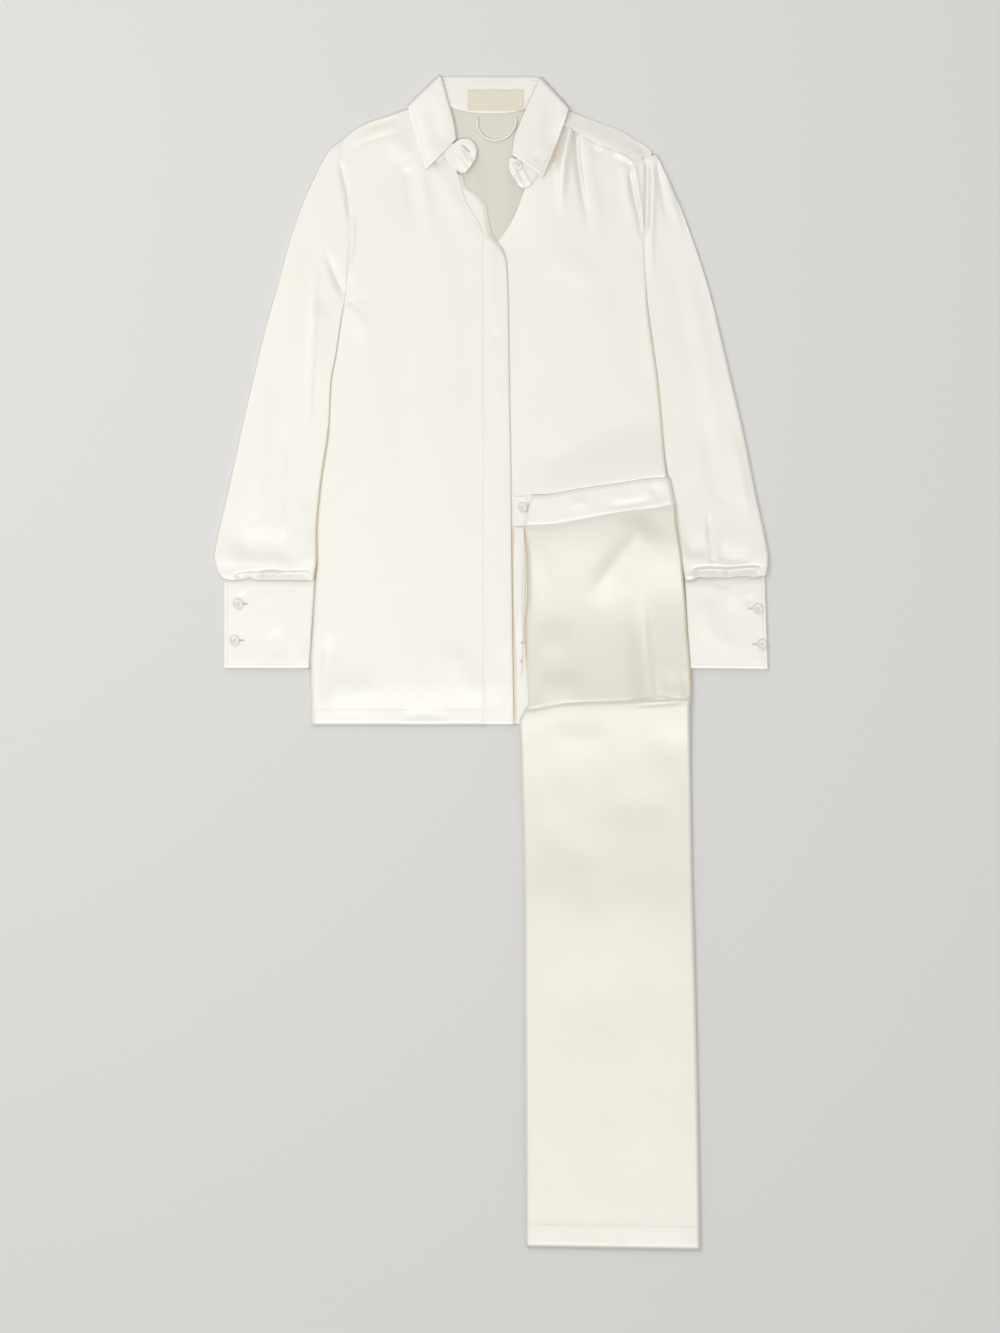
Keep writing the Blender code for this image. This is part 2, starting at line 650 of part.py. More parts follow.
def stand():
    roll = np.stack([collar_line("roll_x"), collar_line("roll_y")])
    free = np.stack([collar_line("free_x"), collar_line("free_y")])
    level, _, front = collar_levels()
    inset = mix(LEAF_ROLL("back_in", 0.0), LEAF_ROLL("front_in", 0.0), front) + STRIP_GAP
    top = roll + (free - roll) / np.hypot(*(free - roll)) * inset
    out = np.stack(shoulder_bulge(STAND_FRONT_LEVEL, STAND_BACK_LEVEL))
    top, seam = top + out, np.stack([collar_line("seam_x"), collar_line("seam_y")]) + out
    tabs = np.arange(-4, 0)
    left_top = np.stack([LEFT_TAB("top_x", tabs), LEFT_TAB("top_y", tabs)])
    left_seam = np.stack([LEFT_TAB("seam_x", tabs), LEFT_TAB("seam_y", tabs)])
    right_top = np.stack([RIGHT_TAB("top_x", tabs), RIGHT_TAB("top_y", tabs)])[:, ::-1]
    right_seam = np.stack([RIGHT_TAB("seam_x", tabs), RIGHT_TAB("seam_y", tabs)])[:, ::-1]
    top = np.concatenate([left_top, top, right_top], axis=1)
    seam = np.concatenate([left_seam, seam, right_seam], axis=1)
    level = np.concatenate([np.full(4, STAND_FRONT_LEVEL), level, np.full(4, STAND_FRONT_LEVEL)])

    def place(up, station):
        x, y = mix(seam[:, station], top[:, station], up)
        return x, y, level[station]

    cloth("collar_stand", np.linspace(0, 1, 4), np.arange(len(level)), place)


def leaf():
    roll = np.stack([collar_line("roll_x"), collar_line("roll_y")])
    free = np.stack([collar_line("free_x"), collar_line("free_y")])
    stand_level, leaf_level, front = collar_levels()
    edge_level = mix(ON_TABLE, LEAF_EDGE_LEVEL, front)
    width = np.hypot(*(free - roll))
    rings = []
    for step in range(7):
        point = min(step, 3)
        over = LEAF_ROLL("over", float(point))
        share = LEAF_SHARES[step]
        rolled = mix(LEAF_ROLL("back_in", float(point)), LEAF_ROLL("front_in", float(point)), front)
        inset = mix(rolled, width, share)
        level = mix(mix(stand_level, leaf_level, over), edge_level, share**6)
        high = mix(mix(STAND_FRONT_LEVEL, LEAF_TOP_LEVEL, over), LEAF_EDGE_LEVEL, share**6)
        low = mix(STAND_BACK_LEVEL, ON_TABLE, over)
        out_x, out_y = shoulder_bulge(high, low)
        x, y = roll + (free - roll) * inset / width
        rings.append((x + out_x, y + out_y, level))
    rings = np.array(rings)

    def place(step, station):
        return tuple(rings[step, :, station].T)

    cloth("collar_leaf", range(7), range(len(front)), place)


def label():
    (x0, x1), (y0, y1) = LABEL["x"], LABEL["y"]
    level = STAND_BACK_LEVEL + CLOTH / 2 + SEAM + LABEL["wall"] / 2

    def place(u, v):
        return mix(x0, x1, u), mix(y0, y1, v), level

    cloth("neck_label", (0, 1), (0, 1), place, wall=LABEL["wall"], slot="label")


def hanger_loop():
    curve = bpy.data.curves.new("hanger_loop", "CURVE")
    curve.dimensions = "3D"
    spline = curve.splines.new("POLY")
    at = np.linspace(0, 8, 25)
    x, y = LOOP("x", at), LOOP("y", at)
    z = neck_level(x, y) + CLOTH / 2 + SEAM + LOOP_RADIUS
    spline.points.add(len(at) - 1)
    for point, place in zip(spline.points, np.stack([x, y, z], axis=1) * MM):
        point.co = (*place, 1)
    curve.bevel_depth = LOOP_RADIUS * MM
    curve.bevel_resolution = 1
    curve.use_fill_caps = True
    curve.materials.append(material("satin"))
    collection().objects.link(bpy.data.objects.new("hanger_loop", curve))


# ---------------------------------------------------------------- sleeves and cuffs


def tube_section(length, height, step):
    """Points round a flattened tube's middle wall: along its width, and above its middle."""
    flat, turn = 7, 3
    reach = height / 2 - CLOTH / 2
    top = np.clip(step / flat, 0, 1)
    near_turn = np.clip((step - flat) / turn, 0, 1) * math.pi
    bottom = np.clip((step - flat - turn) / flat, 0, 1)
    far_turn = np.clip((step - 2 * flat - turn) / turn, 0, 1) * math.pi
    along = mix(reach, length - reach, top - bottom) + reach * (np.sin(near_turn) - np.sin(far_turn))
    return along, reach * np.cos(near_turn + far_turn)


TUBE_STEPS = 2 * (7 + 3) + 1


def sleeve(side, table):
    rows = np.concatenate([np.arange(0, 9), np.linspace(9, 14, 9)])

    def place(step, row):
        outer = np.stack([table("outer_x", row), table("outer_y", row)])
        inner_y = table("inner_y", row)
        clear = table("clear", row) * (-1 if side == "left" else 1)
        inner = np.stack([side_x(side, inner_y) + clear, inner_y])
        length = np.hypot(*(inner - outer))
        height = table("height", row)
        along, above = tube_section(length, height, step)
        share = along / length
        x, y = outer + (inner - outer) * share
        x = x + table("bow", row) * 4 * share * (1 - share)
        ripple = np.cos(2 * math.pi * GATHERS * share) * 4 * share * (1 - share)
        on_top = above > 0
        lift = GATHER_DEPTH * table("gathers", row) * ripple + folds(SLEEVE_FOLDS[side], x, y)
        return x, y, height / 2 + above + np.where(on_top, lift, 0)

    cloth("sleeve_" + side, range(TUBE_STEPS), rows, place)


def cuff(side, table):
    """One band: from under the overlap, round the back, and over the top to the outer edge."""
    turn = 4
    levels = {"bottom": CUFF_WALL / 2, "lap": 1.5 * CUFF_WALL + SEAM, "top": 2.5 * CUFF_WALL + 2 * SEAM}
    lap_radius = (levels["lap"] - levels["bottom"]) / 2
    side_radius = (levels["top"] - levels["bottom"]) / 2
    path = [(CUFF_OVERLAP, levels["lap"])]
    for angle in np.linspace(0, math.pi, turn + 1):
        reach = CUFF_WALL / 2 + lap_radius * (1 - math.sin(angle))
        path.append((reach, mix(levels["bottom"], levels["lap"], (1 + math.cos(angle)) / 2)))
    inner_turn = []
    for angle in np.linspace(0, math.pi, turn + 1):
        reach = CUFF_WALL / 2 + side_radius * (1 - math.sin(angle))
        inner_turn.append((reach, mix(levels["bottom"], levels["top"], (1 - math.cos(angle)) / 2)))

    def place(step, end):
        step = step.astype(int)
        outer = np.stack([table("outer_x", end), table("outer_y", end)])
        inner = np.stack([table("inner_x", end), table("inner_y", end)])
        length = np.hypot(*(inner - outer))
        insets = [inset for inset, _ in path] + [-inset for inset, _ in inner_turn] + [0.4]
        heights = [z for _, z in path] + [z for _, z in inner_turn] + [levels["top"]]
        inset = np.array(insets)[step]
        from_inner = (step >= len(path)) & (step < len(insets) - 1)
        along = np.where(from_inner, length + inset, inset)
        x, y = outer + (inner - outer) * along / length
        return x, y, np.array(heights)[step]

    steps = len(path) + len(inner_turn) + 1
    cloth("cuff_" + side, range(steps), (0, 1 / 3, 2 / 3, 1), place, wall=CUFF_WALL)
    return levels["top"] + CUFF_WALL / 2


def button(name, x, y, base, radius):
    """A turned button with a raised rim and a dished middle."""
    half = BUTTON_THICKNESS / 2
    profile = (
        (0.0, half * 0.5),
        (0.55 * radius, half * 0.5),
        (0.72 * radius, half),
        (0.9 * radius, half),
        (radius, half * 0.3),
        (0.92 * radius, -half),
        (0.0, -half),
    )
    bm = bmesh.new()
    verts = [bm.verts.new(Vector((across, 0, up)) * MM) for across, up in profile]
    for first, second in zip(verts, verts[1:]):
        bm.edges.new((first, second))
    mesh = bpy.data.meshes.new(name)
    bm.to_mesh(mesh)
    bm.free()
    piece = new_object(name, mesh, "button")
    piece.location = Vector((x, y, base + SEAM + half)) * MM
    screw = piece.modifiers.new("Turned", "SCREW")
    screw.steps = screw.render_steps = 14
    screw.use_merge_vertices = True
    screw.merge_threshold = 0.00001
    screw.use_normal_calculate = True
    return piece


# ---------------------------------------------------------------- trousers


def leg_height(x, y):
    """Top of the visible leg: its level from the tuck, and the largest folds away from the tuck."""
    above = y - TUCK("y", x)
    return LEG_TOP("z", above) + folds(TROUSER_FOLDS, x, y) * smooth_step((above - 6) / 20)


def leg_y(row, u, head, foot):
    """The place of a row of the trousers, between the waist seam, the tuck and the hem."""
    tuck = TUCK("y", mix(40.4, 238.0, u))
    return np.where(row <= 1, mix(head, tuck, row), mix(tuck, foot, row - 1))


def trouser_leg():
    def place(u, row):
        foot = mix(LEG_HEM["left"], LEG_HEM["right"], u)
        y = leg_y(row, u, WAIST("seam", mix(40.4, 219.0, u)) - 0.35, foot)
        left, right = TROUSER_SIDES("left", y), TROUSER_SIDES("right", y)
        x = mix(left, right, u)
        level = leg_height(x, y) - CLOTH / 2
        return x, y, level - rolled_edge(np.minimum(x - left, right - x), 2.2, 5.0)

    cloth("trousers_leg", crowded(LEG_COLUMNS), LEG_ROWS, place)


def hidden_layers():
    """All that the visible leg covers, as one solid with its layers showing at the edges."""
    down = LAYER_EDGE.keys
    inset = LAYER_EDGE.values["inset"]
    tops = crowded(LEG_COLUMNS)[1:-1]
    ring_u = np.concatenate([tops, np.ones(len(down)), (0.7, 0.3), np.zeros(len(down)), tops[:1]])
    ring_up = np.concatenate([np.ones(len(tops)), 1 - down, (0, 0), 1 - down[::-1], (1,)])
    ring_in = np.concatenate([np.zeros(len(tops)), inset, (0, 0), inset[::-1], (0,)])

    def place(step, row):
        u, up, inset = ring_u[step], ring_up[step], ring_in[step]
        head = WAIST("seam", mix(40.4, 219.0, u))
        band = WAIST("top", mix(49.0, 214.0, u)) - 1.6
        foot = mix(LEG_HEM["left"], LEG_HEM["right"], u) + 1.0
        y = np.where(row < 0, mix(head, band, -row), leg_y(np.maximum(row, 0), u, head, foot))
        fly_room = 4.4 * smooth_step((y + 40) / 30)
        left, right = TROUSER_SIDES("left", y) + 1.6 + fly_room, TROUSER_SIDES("right", y) - 1.6
        x = mix(left + inset, right - inset, u)
        rest = TROUSER_REST("z", y)
        cover = np.min([leg_height(x, y + shift) for shift in (-6, -3, 0, 3, 6)], axis=0)
        top = np.minimum(cover - CLOTH - 0.5, rest + HIDDEN_LAYERS) - np.where(row < 0, 1.2, 0)
        top = top - 2.4 * smooth_step(1 - np.minimum(x - left, right - x) / 7)
        return x, y, mix(rest, top, up)

    solid_from_rings("trousers_hidden_layers", range(len(ring_u)), (-1, -0.5) + LEG_ROWS, place)


def waistband():
    level = leg_height(np.array([100.0]), np.array([190.0]))[0] - CLOTH + FIRM_CLOTH / 2

    def place(u, v):
        x = mix(mix(WAISTBAND_END["bottom_x"], WAISTBAND_END["top_x"], v), mix(219.0, 214.0, v), u)
        y = mix(WAIST("seam", x) + 0.35, WAIST("top", x), v)
        turned = rolled_edge(mix(219.0, 214.0, v) - x, 2.0, 5.0)
        return x, y, level - turned - rolled_edge(WAIST("top", x) - y, 0.8, 4.0)

    cloth("trousers_waistband", crowded(12), (0, 0.35, 0.7, 0.9, 1), place, wall=FIRM_CLOTH)


def waist_underlap():
    """The end of the waistband's other half, which carries the button."""
    level = TROUSER_REST("z", 190.0) + FIRM_CLOTH / 2

    def place(u, v):
        x = mix(28.8, 43.6, u)
        return x, mix(WAIST("seam", x) + 0.6, WAIST("top", x) - 0.6, v), level

    cloth("trousers_waist_underlap", (0, 0.5, 1), (0, 0.5, 1), place, wall=FIRM_CLOTH)
    return level + FIRM_CLOTH / 2


def fly_strip():
    level = TROUSER_REST("z", 100.0) + CLOTH / 2

    def place(u, y):
        return mix(FLY_STRIP("left", y), FLY_STRIP("right", y), u), y, level

    cloth("trousers_fly_underlap", (0, 0.5, 1), np.linspace(162.6, -14, 9), place)


def clear_scene():
    for thing in list(bpy.data.objects):
        bpy.data.objects.remove(thing, do_unlink=True)


def build():
    clear_scene()
    back()
    yoke()
    front_left()
    front_right()
    placket()
    stand()
    leaf()
    label()
    hanger_loop()
    sleeve("left", LEFT_SLEEVE)
    sleeve("right", RIGHT_SLEEVE)
    cuff_top = cuff("left", LEFT_CUFF)
    cuff("right", RIGHT_CUFF)
    for name, (x, y) in CUFF_BUTTONS.items():
        button(name, x, y, cuff_top, BUTTON_RADIUS)
    button("collar_button", 33.0, 596.6, STAND_FRONT_LEVEL + CLOTH / 2, COLLAR_BUTTON_RADIUS)
    trouser_leg()
    hidden_layers()
    waistband()
    underlap_top = waist_underlap()
    fly_strip()
    button("waist_button", *WAIST_BUTTON, underlap_top, BUTTON_RADIUS - 0.6)


build()
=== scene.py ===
"""Looks of the pyjama set: satin panels with their folds, seams, stitching, buttons, label and loop."""

import math

import bmesh
import bpy
import numpy as np
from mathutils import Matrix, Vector


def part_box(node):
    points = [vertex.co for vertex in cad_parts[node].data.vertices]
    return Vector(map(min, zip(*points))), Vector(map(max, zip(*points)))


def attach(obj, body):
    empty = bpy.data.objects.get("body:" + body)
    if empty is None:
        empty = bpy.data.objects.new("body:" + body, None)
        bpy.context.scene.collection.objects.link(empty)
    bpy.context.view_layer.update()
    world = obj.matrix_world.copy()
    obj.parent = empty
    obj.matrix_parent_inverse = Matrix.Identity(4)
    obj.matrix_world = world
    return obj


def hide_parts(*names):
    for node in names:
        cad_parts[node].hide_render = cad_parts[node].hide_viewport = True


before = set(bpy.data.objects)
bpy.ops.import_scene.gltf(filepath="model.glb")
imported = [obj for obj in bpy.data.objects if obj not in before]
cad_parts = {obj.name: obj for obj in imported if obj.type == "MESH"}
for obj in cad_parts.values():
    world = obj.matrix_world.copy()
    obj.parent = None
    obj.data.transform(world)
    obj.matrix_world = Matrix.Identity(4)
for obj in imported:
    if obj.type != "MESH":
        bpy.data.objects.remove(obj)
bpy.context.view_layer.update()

MM = 0.001

# Walls in mm: the solids' own, satin, cloth with interfacing, the label and the loop.
SOLID_WALL = 1.2
HALF_WALL = SOLID_WALL / 2
SATIN = 0.36
FIRM = 1.2
LEAF_WALL = FIRM - 0.1
STAND_WALL = FIRM - 0.2
CUFF_CLOTH = FIRM - 0.2
LABEL_WALL = 0.5
LOOP_WALL = 0.4

# The gap where two layers meet.
SEAM = 0.16

# Heights of the middle of each layer above the table, in mm.
ON_TABLE = HALF_WALL
FRONT = 4.8
PRESSED = 3.0
UNDERLAP = 2.1
PLACKET_OUTER, PLACKET_INNER = 4.8, 3.4
OPEN_OUTER, OPEN_INNER = 3.6, 2.2
NECK = 2.4
STAND_BACK, STAND_FRONT = 2.7, 6.6
LEAF_TOP, LEAF_EDGE = 8.6, 5.9
LABEL_LEVEL = 4.15
WAISTBAND_LEVEL = 10.3
WAIST_UNDERLAP_LEVEL, FLY_LEVEL = 4.65, 4.5
LOWEST_FRONT = 1.1

# How far a turned hem stands proud, and how deep the two hems are.
HEM_STEP = 0.12
SHIRT_HEM, LEG_HEM_DEPTH = 19, 30

# Sizes of the grid cells of each kind of piece.
BACK_CELL, FRONT_CELL, BAND_CELL, SMALL_CELL = 5.5, 2.8, 2.2, 1.8
WIDE_CELL = 3.2

# Places that several pieces of the shirt share, in mm.
HEM_Y = -74.4
UNDERARM_Y = 442.0
# Top of the painted warm shade beside the right sleeve.
RIGHT_PAINTED_SHADE_TOP = UNDERARM_Y + 88
YOKE_BACK_Y = 548.0
YOKE_END = {"left": -178.2, "right": 193.0}
ARMHOLE_TOP = 183.4
PLACKET_SEAM_X = -8.4
FRONT_TOP_X = 62.0


class Table:
    """Rows with named columns, read along a curve that never overshoots."""

    def __init__(self, columns, *rows):
        ordered = np.array(sorted(rows), float)
        self.keys = ordered[:, 0]
        self.values = dict(zip(columns.split()[1:], ordered[:, 1:].T))

    def __call__(self, column, at):
        keys, values = self.keys, self.values[column]
        step = np.diff(keys)
        rise = np.diff(values) / step
        both = rise[:-1] + rise[1:]
        slope = np.concatenate([rise[:1], np.zeros(len(rise) - 1), rise[-1:]])
        same_way = rise[:-1] * rise[1:] > 0
        slope[1:-1][same_way] = (2 * rise[:-1] * rise[1:])[same_way] / both[same_way]
        i = np.clip(np.searchsorted(keys, at) - 1, 0, len(step) - 1)
        t = np.clip((at - keys[i]) / step[i], 0, 1)
        eased = t * t * (3 - 2 * t)
        bend = slope[i] * t * (1 - t) ** 2 - slope[i + 1] * t * t * (1 - t)
        return values[i] + (values[i + 1] - values[i]) * eased + step[i] * bend


BODY_SIDES = Table(
    "y left right",
    (-75, -216.6, 236), (-5, -217, 235.5), (37, -214.6, 234), (75, -212.4, 232), (100, -210.6, 229.6),
    (120, -208.6, 226.4), (150, -209, 220.5), (207, -205, 214.5), (243, -200, 209), (273, -195.5, 206.5),
    (339, -192, 200.5), (365, -187, 197), (412, -180, 190.5), (442, -174.6, 187),
)
ARMHOLES = {
    "left": {"x_low": -174.6, "x_high": -178.4, "y_high": 627.0, "bow": 9.5},
    "right": {"x_low": 187.0, "x_high": 183.4, "y_high": 606.0, "bow": -2.5},
}
SHOULDERS = Table(
    "x fold seam",
    (-179, 628, 598), (-167, 638, 612), (-151, 647.5, 625), (-120, 658, 633), (-102, 664, 640),
    (-70, 676, 650), (70, 673, 650), (98, 661.5, 639), (131, 648.5, 622), (155, 639.5, 613),
    (184, 622, 602.5), (193, 616.5, 609),
)
NECK_SEAM = Table(
    "x y",
    (-70, 679), (-61, 670.2), (-52, 667), (-30, 660.4), (0, 659), (30, 660.2), (52, 666), (61, 668.8),
    (70, 677),
)
LEFT_FRONT_EDGE = Table(
    "y x",
    (-75, PLACKET_SEAM_X), (510, PLACKET_SEAM_X), (518, -10.8), (535, -19), (555, -31), (573, -36),
    (609, -47), (655, -FRONT_TOP_X),
)
PLACKET = Table(
    "y seam outer inner lift",
    (-73.5, -8.4, 28.4, 28.4, 0), (-40, -8.4, 27.6, 27.6, 0), (75, -8.4, 26, 26, 0),
    (210, -8.4, 24.6, 24.6, 0), (330, -8.4, 22.6, 22.6, 0), (447, -8.4, 20.8, 20.8, 0),
    (481, -8.4, 18.6, 19.6, 0), (495, -8.4, 12, 16.4, 0), (505, -8.4, 3.6, 9.6, 0),
    (514, -8.4, -4, 2.6, 0.5), (522, -11.4, -5.6, 0.2, 0.8), (531, -16, -7.2, -1.6, 1),
    (537, -21, -8, -2.6, 1), (549, -35, -10.4, -5, 1), (560, -41, -18.4, -13, 1),
    (573, -46, -35, -29.6, 1), (586, -50, -38, -33, 1),
)
RIGHT_FRONT_EDGE = Table(
    "y x",
    (-75, -4), (470, -4), (495, 1.5), (508, 11), (538, 29), (562, 38), (600, 50), (655, FRONT_TOP_X),
)
SLEEVE_COLUMNS = "row outer_x outer_y inner_y clear bow height"
LEFT_SLEEVE = Table(
    SLEEVE_COLUMNS,
    (0, -179, 627.2, 442, 0.3, 9.5, 5.4), (1, -193, 616, 433, 0.2, 7, 5.6),
    (2, -208, 590, 418, 0.2, 4, 5.8), (3, -224, 555, 398, 0.2, 2, 6), (4, -241, 507, 365, 0.2, 0, 6),
    (5, -254, 459, 335, 0.2, 0, 6), (6, -268, 411, 300, 0.2, 0, 6), (7, -283, 350, 268, 0.2, 0, 6),
    (8, -300, 277, 222, 0.2, 0, 6), (9, -317, 200, 170, 0.2, 0, 6.1), (10, -328, 152, 143, 0.2, 0, 6.8),
    (11, -332.7, 126, 125, 0.2, 0, 7.4), (12, -330, 113.5, 113.5, 1, 0, 7.1),
    (13, -325, 105.2, 104.7, 1.4, 0, 7.3), (14, -320.2, 100.9, 99.9, 2, 0, 7),
)
RIGHT_SLEEVE = Table(
    SLEEVE_COLUMNS,
    (0, 185, 607.4, 442, 0.3, -2.5, 5.4), (1, 197, 609.6, 432, 0.2, -1.6, 5.6),
    (2, 208, 590, 414, 0.2, -1, 5.8), (3, 224, 555, 392, 0.2, 0, 6), (4, 242, 507, 358, 0.2, 0, 6),
    (5, 258, 459, 330, 0.2, 0, 6), (6, 271, 411, 300, 0.2, 0, 6), (7, 285.4, 350, 262, 0.2, 0, 6),
    (8, 302.6, 277, 220, 0.2, 0, 6), (9, 318, 200, 172, 0.2, 0, 6.1), (10, 328.6, 152, 143, 0.2, 0, 6.8),
    (11, 332.7, 126, 125, 0.6, 0, 7.4), (12, 332, 114.5, 113, 2, 0, 7.3),
    (13, 330.4, 107.6, 104, 2.6, 0, 7.4), (14, 328.4, 103.8, 100.2, 3, 0, 7.4),
)
CUFF_COLUMNS = "end outer_x outer_y inner_x inner_y"
LEFT_CUFF = Table(CUFF_COLUMNS, (1, -320.4, 101.6, -210.6, 100.6), (0, -320.4, -6.2, -217.3, -6.2))
RIGHT_CUFF = Table(CUFF_COLUMNS, (1, 328.4, 104.6, 231.4, 100.8), (0, 332.2, -7.2, 237.6, -6.2))
CUFF_WALL = 1.4
CUFF_LAP = 26.0
CUFF_BUTTONS = {
    "cuff_button_left_upper": (-303.6, 70.8),
    "cuff_button_left_lower": (-307.8, 27.0),
    "cuff_button_right_upper": (320.0, 65.2),
    "cuff_button_right_lower": (325.0, 22.2),
}
COLLAR_COLUMNS = "station roll_x roll_y free_x free_y seam_x seam_y turn"
LEFT_COLLAR = Table(
    COLLAR_COLUMNS,
    (0, -42, 628.4, -78, 591.6, -47.5, 595.6, 0), (1, -43.6, 642, -84, 611, -57, 611.5, 0),
    (2, -46.6, 656, -90, 632, -62, 632, 0), (3, -52.6, 676, -96, 653, -65.4, 653, 0),
    (4, -59.2, 701.2, -98.8, 665, -66.4, 665, 0), (5, -59.2, 701.4, -98.8, 665.2, -66.2, 667.4, 0.25),
    (6, -59.2, 701.6, -98.8, 665.4, -65.8, 669.4, 0.5), (7, -58.8, 702, -98.4, 665.2, -64.4, 671.4, 0.75),
    (8, -58, 702.4, -97.6, 664.8, -61, 672.4, 1), (9, -46, 703.4, -78, 656, -46, 666, 1),
    (10, -24, 703.4, -36, 650, -24, 660.6, 1), (11, 0, 703.4, 0, 648.4, 0, 659.6, 1),
)
RIGHT_COLLAR = Table(
    COLLAR_COLUMNS,
    (0, 25.6, 609.6, 62.2, 582.4, 50, 576.5, 0), (1, 27.6, 627, 71, 604, 58.5, 592, 0),
    (2, 35, 648, 80, 627, 62.6, 614, 0), (3, 44.4, 670, 88, 649, 65, 640, 0),
    (4, 57.4, 698.4, 92.2, 662.6, 66, 661, 0), (5, 57.4, 698.6, 92.2, 662.8, 65.8, 663.6, 0.25),
    (6, 57.4, 699.2, 92.2, 663, 65.4, 666, 0.5), (7, 57, 700.6, 91.8, 662.8, 63.8, 668.6, 0.75),
    (8, 56, 702.2, 91, 662.4, 60.4, 671, 1), (9, 45, 703.4, 74, 655, 46, 665.6, 1),
    (10, 24, 703.4, 36, 650, 24, 660.6, 1), (11, 0, 703.4, 0, 648.4, 0, 659.6, 1),
)
# Rounded ends of the stand: its top and its seam, from the end towards the leaf.
LEFT_TAB = (
    (-18.8, 604.6, -27.8, 591), (-17.8, 617.6, -31, 588.4), (-24.4, 627.2, -35.6, 588.2),
    (-36, 628.4, -41, 590.8),
)
RIGHT_TAB = (
    (25.6, 583.6, 33.4, 572.6), (23, 590.4, 36.6, 570), (21.4, 600, 40.5, 569.8), (23.6, 606.4, 45, 572.2),
)
STRIP_GAP = 1.8
FOLD_OUT = (0.68, 0.73)
LABEL_X, LABEL_Y = (-28.0, 39.0), (663.0, 687.6)
LOOP = (
    (-16, 655), (-16.6, 646), (-12, 635), (-3, 628.5), (6, 627), (17, 630), (26, 638.5), (29.6, 647),
    (30, 655),
)
TROUSER_SIDES = Table(
    "y left right",
    (224, 44, 213), (190, 44, 217.6), (160, 40.4, 219.6), (123, 43, 224), (82, 43.4, 227.6),
    (40, 40.4, 231.6), (0, 42, 235.6), (-30, 44.4, 236.8), (-50, 45, 237.2), (-58, 41, 238),
    (-72, 34.4, 238.2), (-94, 35.4, 238.6), (-150, 37.2, 239.6), (-261, 40, 241.4), (-405, 40.6, 245.4),
    (-549, 41.2, 248.4), (-704, 41.8, 250.6),
)
TROUSER_REST = Table("y z", (224, 3.9), (-92, 3.9), (-124, 0.0), (-704, 0.0))
TUCK = Table("x y", (34, -58.0), (47, -56.4), (95, -48.6), (197, -44.8), (240, -42.4))
LEG_TOP = Table(
    "above z",
    (300, 11.8), (215, 11.6), (195, 11.3), (160, 9.4), (130, 7.6), (110, 6.9), (90, 6.7), (70, 6.8),
    (40, 7.1), (15, 7.6), (3, 7.9), (0.5, 7.8), (-1, 8.9), (-3, 9.3), (-8, 9.2), (-16, 8.8), (-34, 7.7),
    (-52, 6.7), (-70, 5.9), (-90, 5.5), (-130, 5.15), (-180, 5.1), (-215, 5.4), (-250, 5.8), (-300, 5.5),
    (-360, 5.2), (-450, 5.3), (-560, 5.7), (-640, 6.1), (-700, 5.9),
)
LEG_HEM = {"left": -701.0, "right": -704.3}
WAIST = Table(
    "x seam top",
    (28, 163.2, 200), (67, 164.6, 201.4), (103, 170.4, 208), (158, 180.4, 216), (195, 184.6, 221.4),
    (220, 189.2, 222.6),
)
FLY_STRIP = Table(
    "y left right",
    (163, 28.6, 39), (113, 27.4, 40.8), (79, 27.4, 40.6), (48, 28.6, 38.6), (10, 30.6, 37.2),
    (-14, 31.6, 36),
)
LAYER_EDGE = Table(
    "down inset",
    (0, 1.6), (0.06, 0.9), (0.16, 0.7), (0.28, 1.2), (0.33, 1.9), (0.4, 1), (0.5, 0.5), (0.6, 0.8),
    (0.67, 1.5), (0.74, 0.6), (0.86, 0), (0.95, 0.3), (1, 0.8),
)


def ease(value):
    t = np.clip(value, 0, 1)
    return t * t * (3 - 2 * t)


def mix(a, b, share):
    return a + (b - a) * share


def rolled_edge(distance, drop, radius):
    """How far cloth sinks towards an edge where it turns over."""
    t = np.clip(distance / radius, 0, 1)
    return drop * (1 - np.sqrt(1 - (1 - t) ** 2))


def fold(*places, width, height, lean=0.0, fade=(0.35, 0.35)):
    """A soft ridge along a line of places, or a trough if height is below 0. Lean makes one side steeper."""
    return places, width, height, lean, fade


def folded(x, y, creases):
    """How far a list of folds lifts the cloth at each place."""
    lift = np.zeros(np.broadcast(x, y).shape)
    for places, width, height, lean, fade in creases:
        nearest = np.full(lift.shape, np.inf)
        side, along = np.zeros(lift.shape), np.zeros(lift.shape)
        gone = 0.0
        for (x0, y0), (x1, y1) in zip(places, places[1:]):
            dx, dy = x1 - x0, y1 - y0
            length = math.hypot(dx, dy)
            t = np.clip(((x - x0) * dx + (y - y0) * dy) / length**2, 0, 1)
            off_x, off_y = x - x0 - t * dx, y - y0 - t * dy
            away = np.hypot(off_x, off_y)
            closer = away < nearest
            nearest = np.where(closer, away, nearest)
            side = np.where(closer, np.sign(off_x * dy - off_y * dx), side)
            along = np.where(closer, gone + t * length, along)
            gone += length
        share = along / gone
        ends = ease(share / max(fade[0], 1e-6)) * ease((1 - share) / max(fade[1], 1e-6))
        lift += height * ends * np.exp(-((nearest / (width * (1 + lean * side))) ** 2))
    return lift


LATTICE = 48


def uneven(x, y, across, along, seed):
    """Soft unevenness from -1 to 1, in patches of the given size in mm."""
    lattice = np.random.default_rng(seed).uniform(-1, 1, (LATTICE, LATTICE))
    u, v = x / across + 7.3, y / along + 11.9
    i, j = np.floor(u).astype(int), np.floor(v).astype(int)
    s, t = ease(u - i), ease(v - j)
    low, high = (
        mix(lattice[i % LATTICE, row % LATTICE], lattice[(i + 1) % LATTICE, row % LATTICE], s)
        for row in (j, j + 1)
    )
    return mix(low, high, t)


def slack(x, y, seed, amount=1.0):
    """The slight unevenness of satin that lies loose: long soft waves and a few short ones."""
    long_waves = 0.22 * uneven(x + 0.06 * y, y, 42, 210, seed) + 0.16 * uneven(x, y, 70, 70, seed + 1)
    return amount * (long_waves + 0.03 * uneven(x, y, 16, 26, seed + 2))


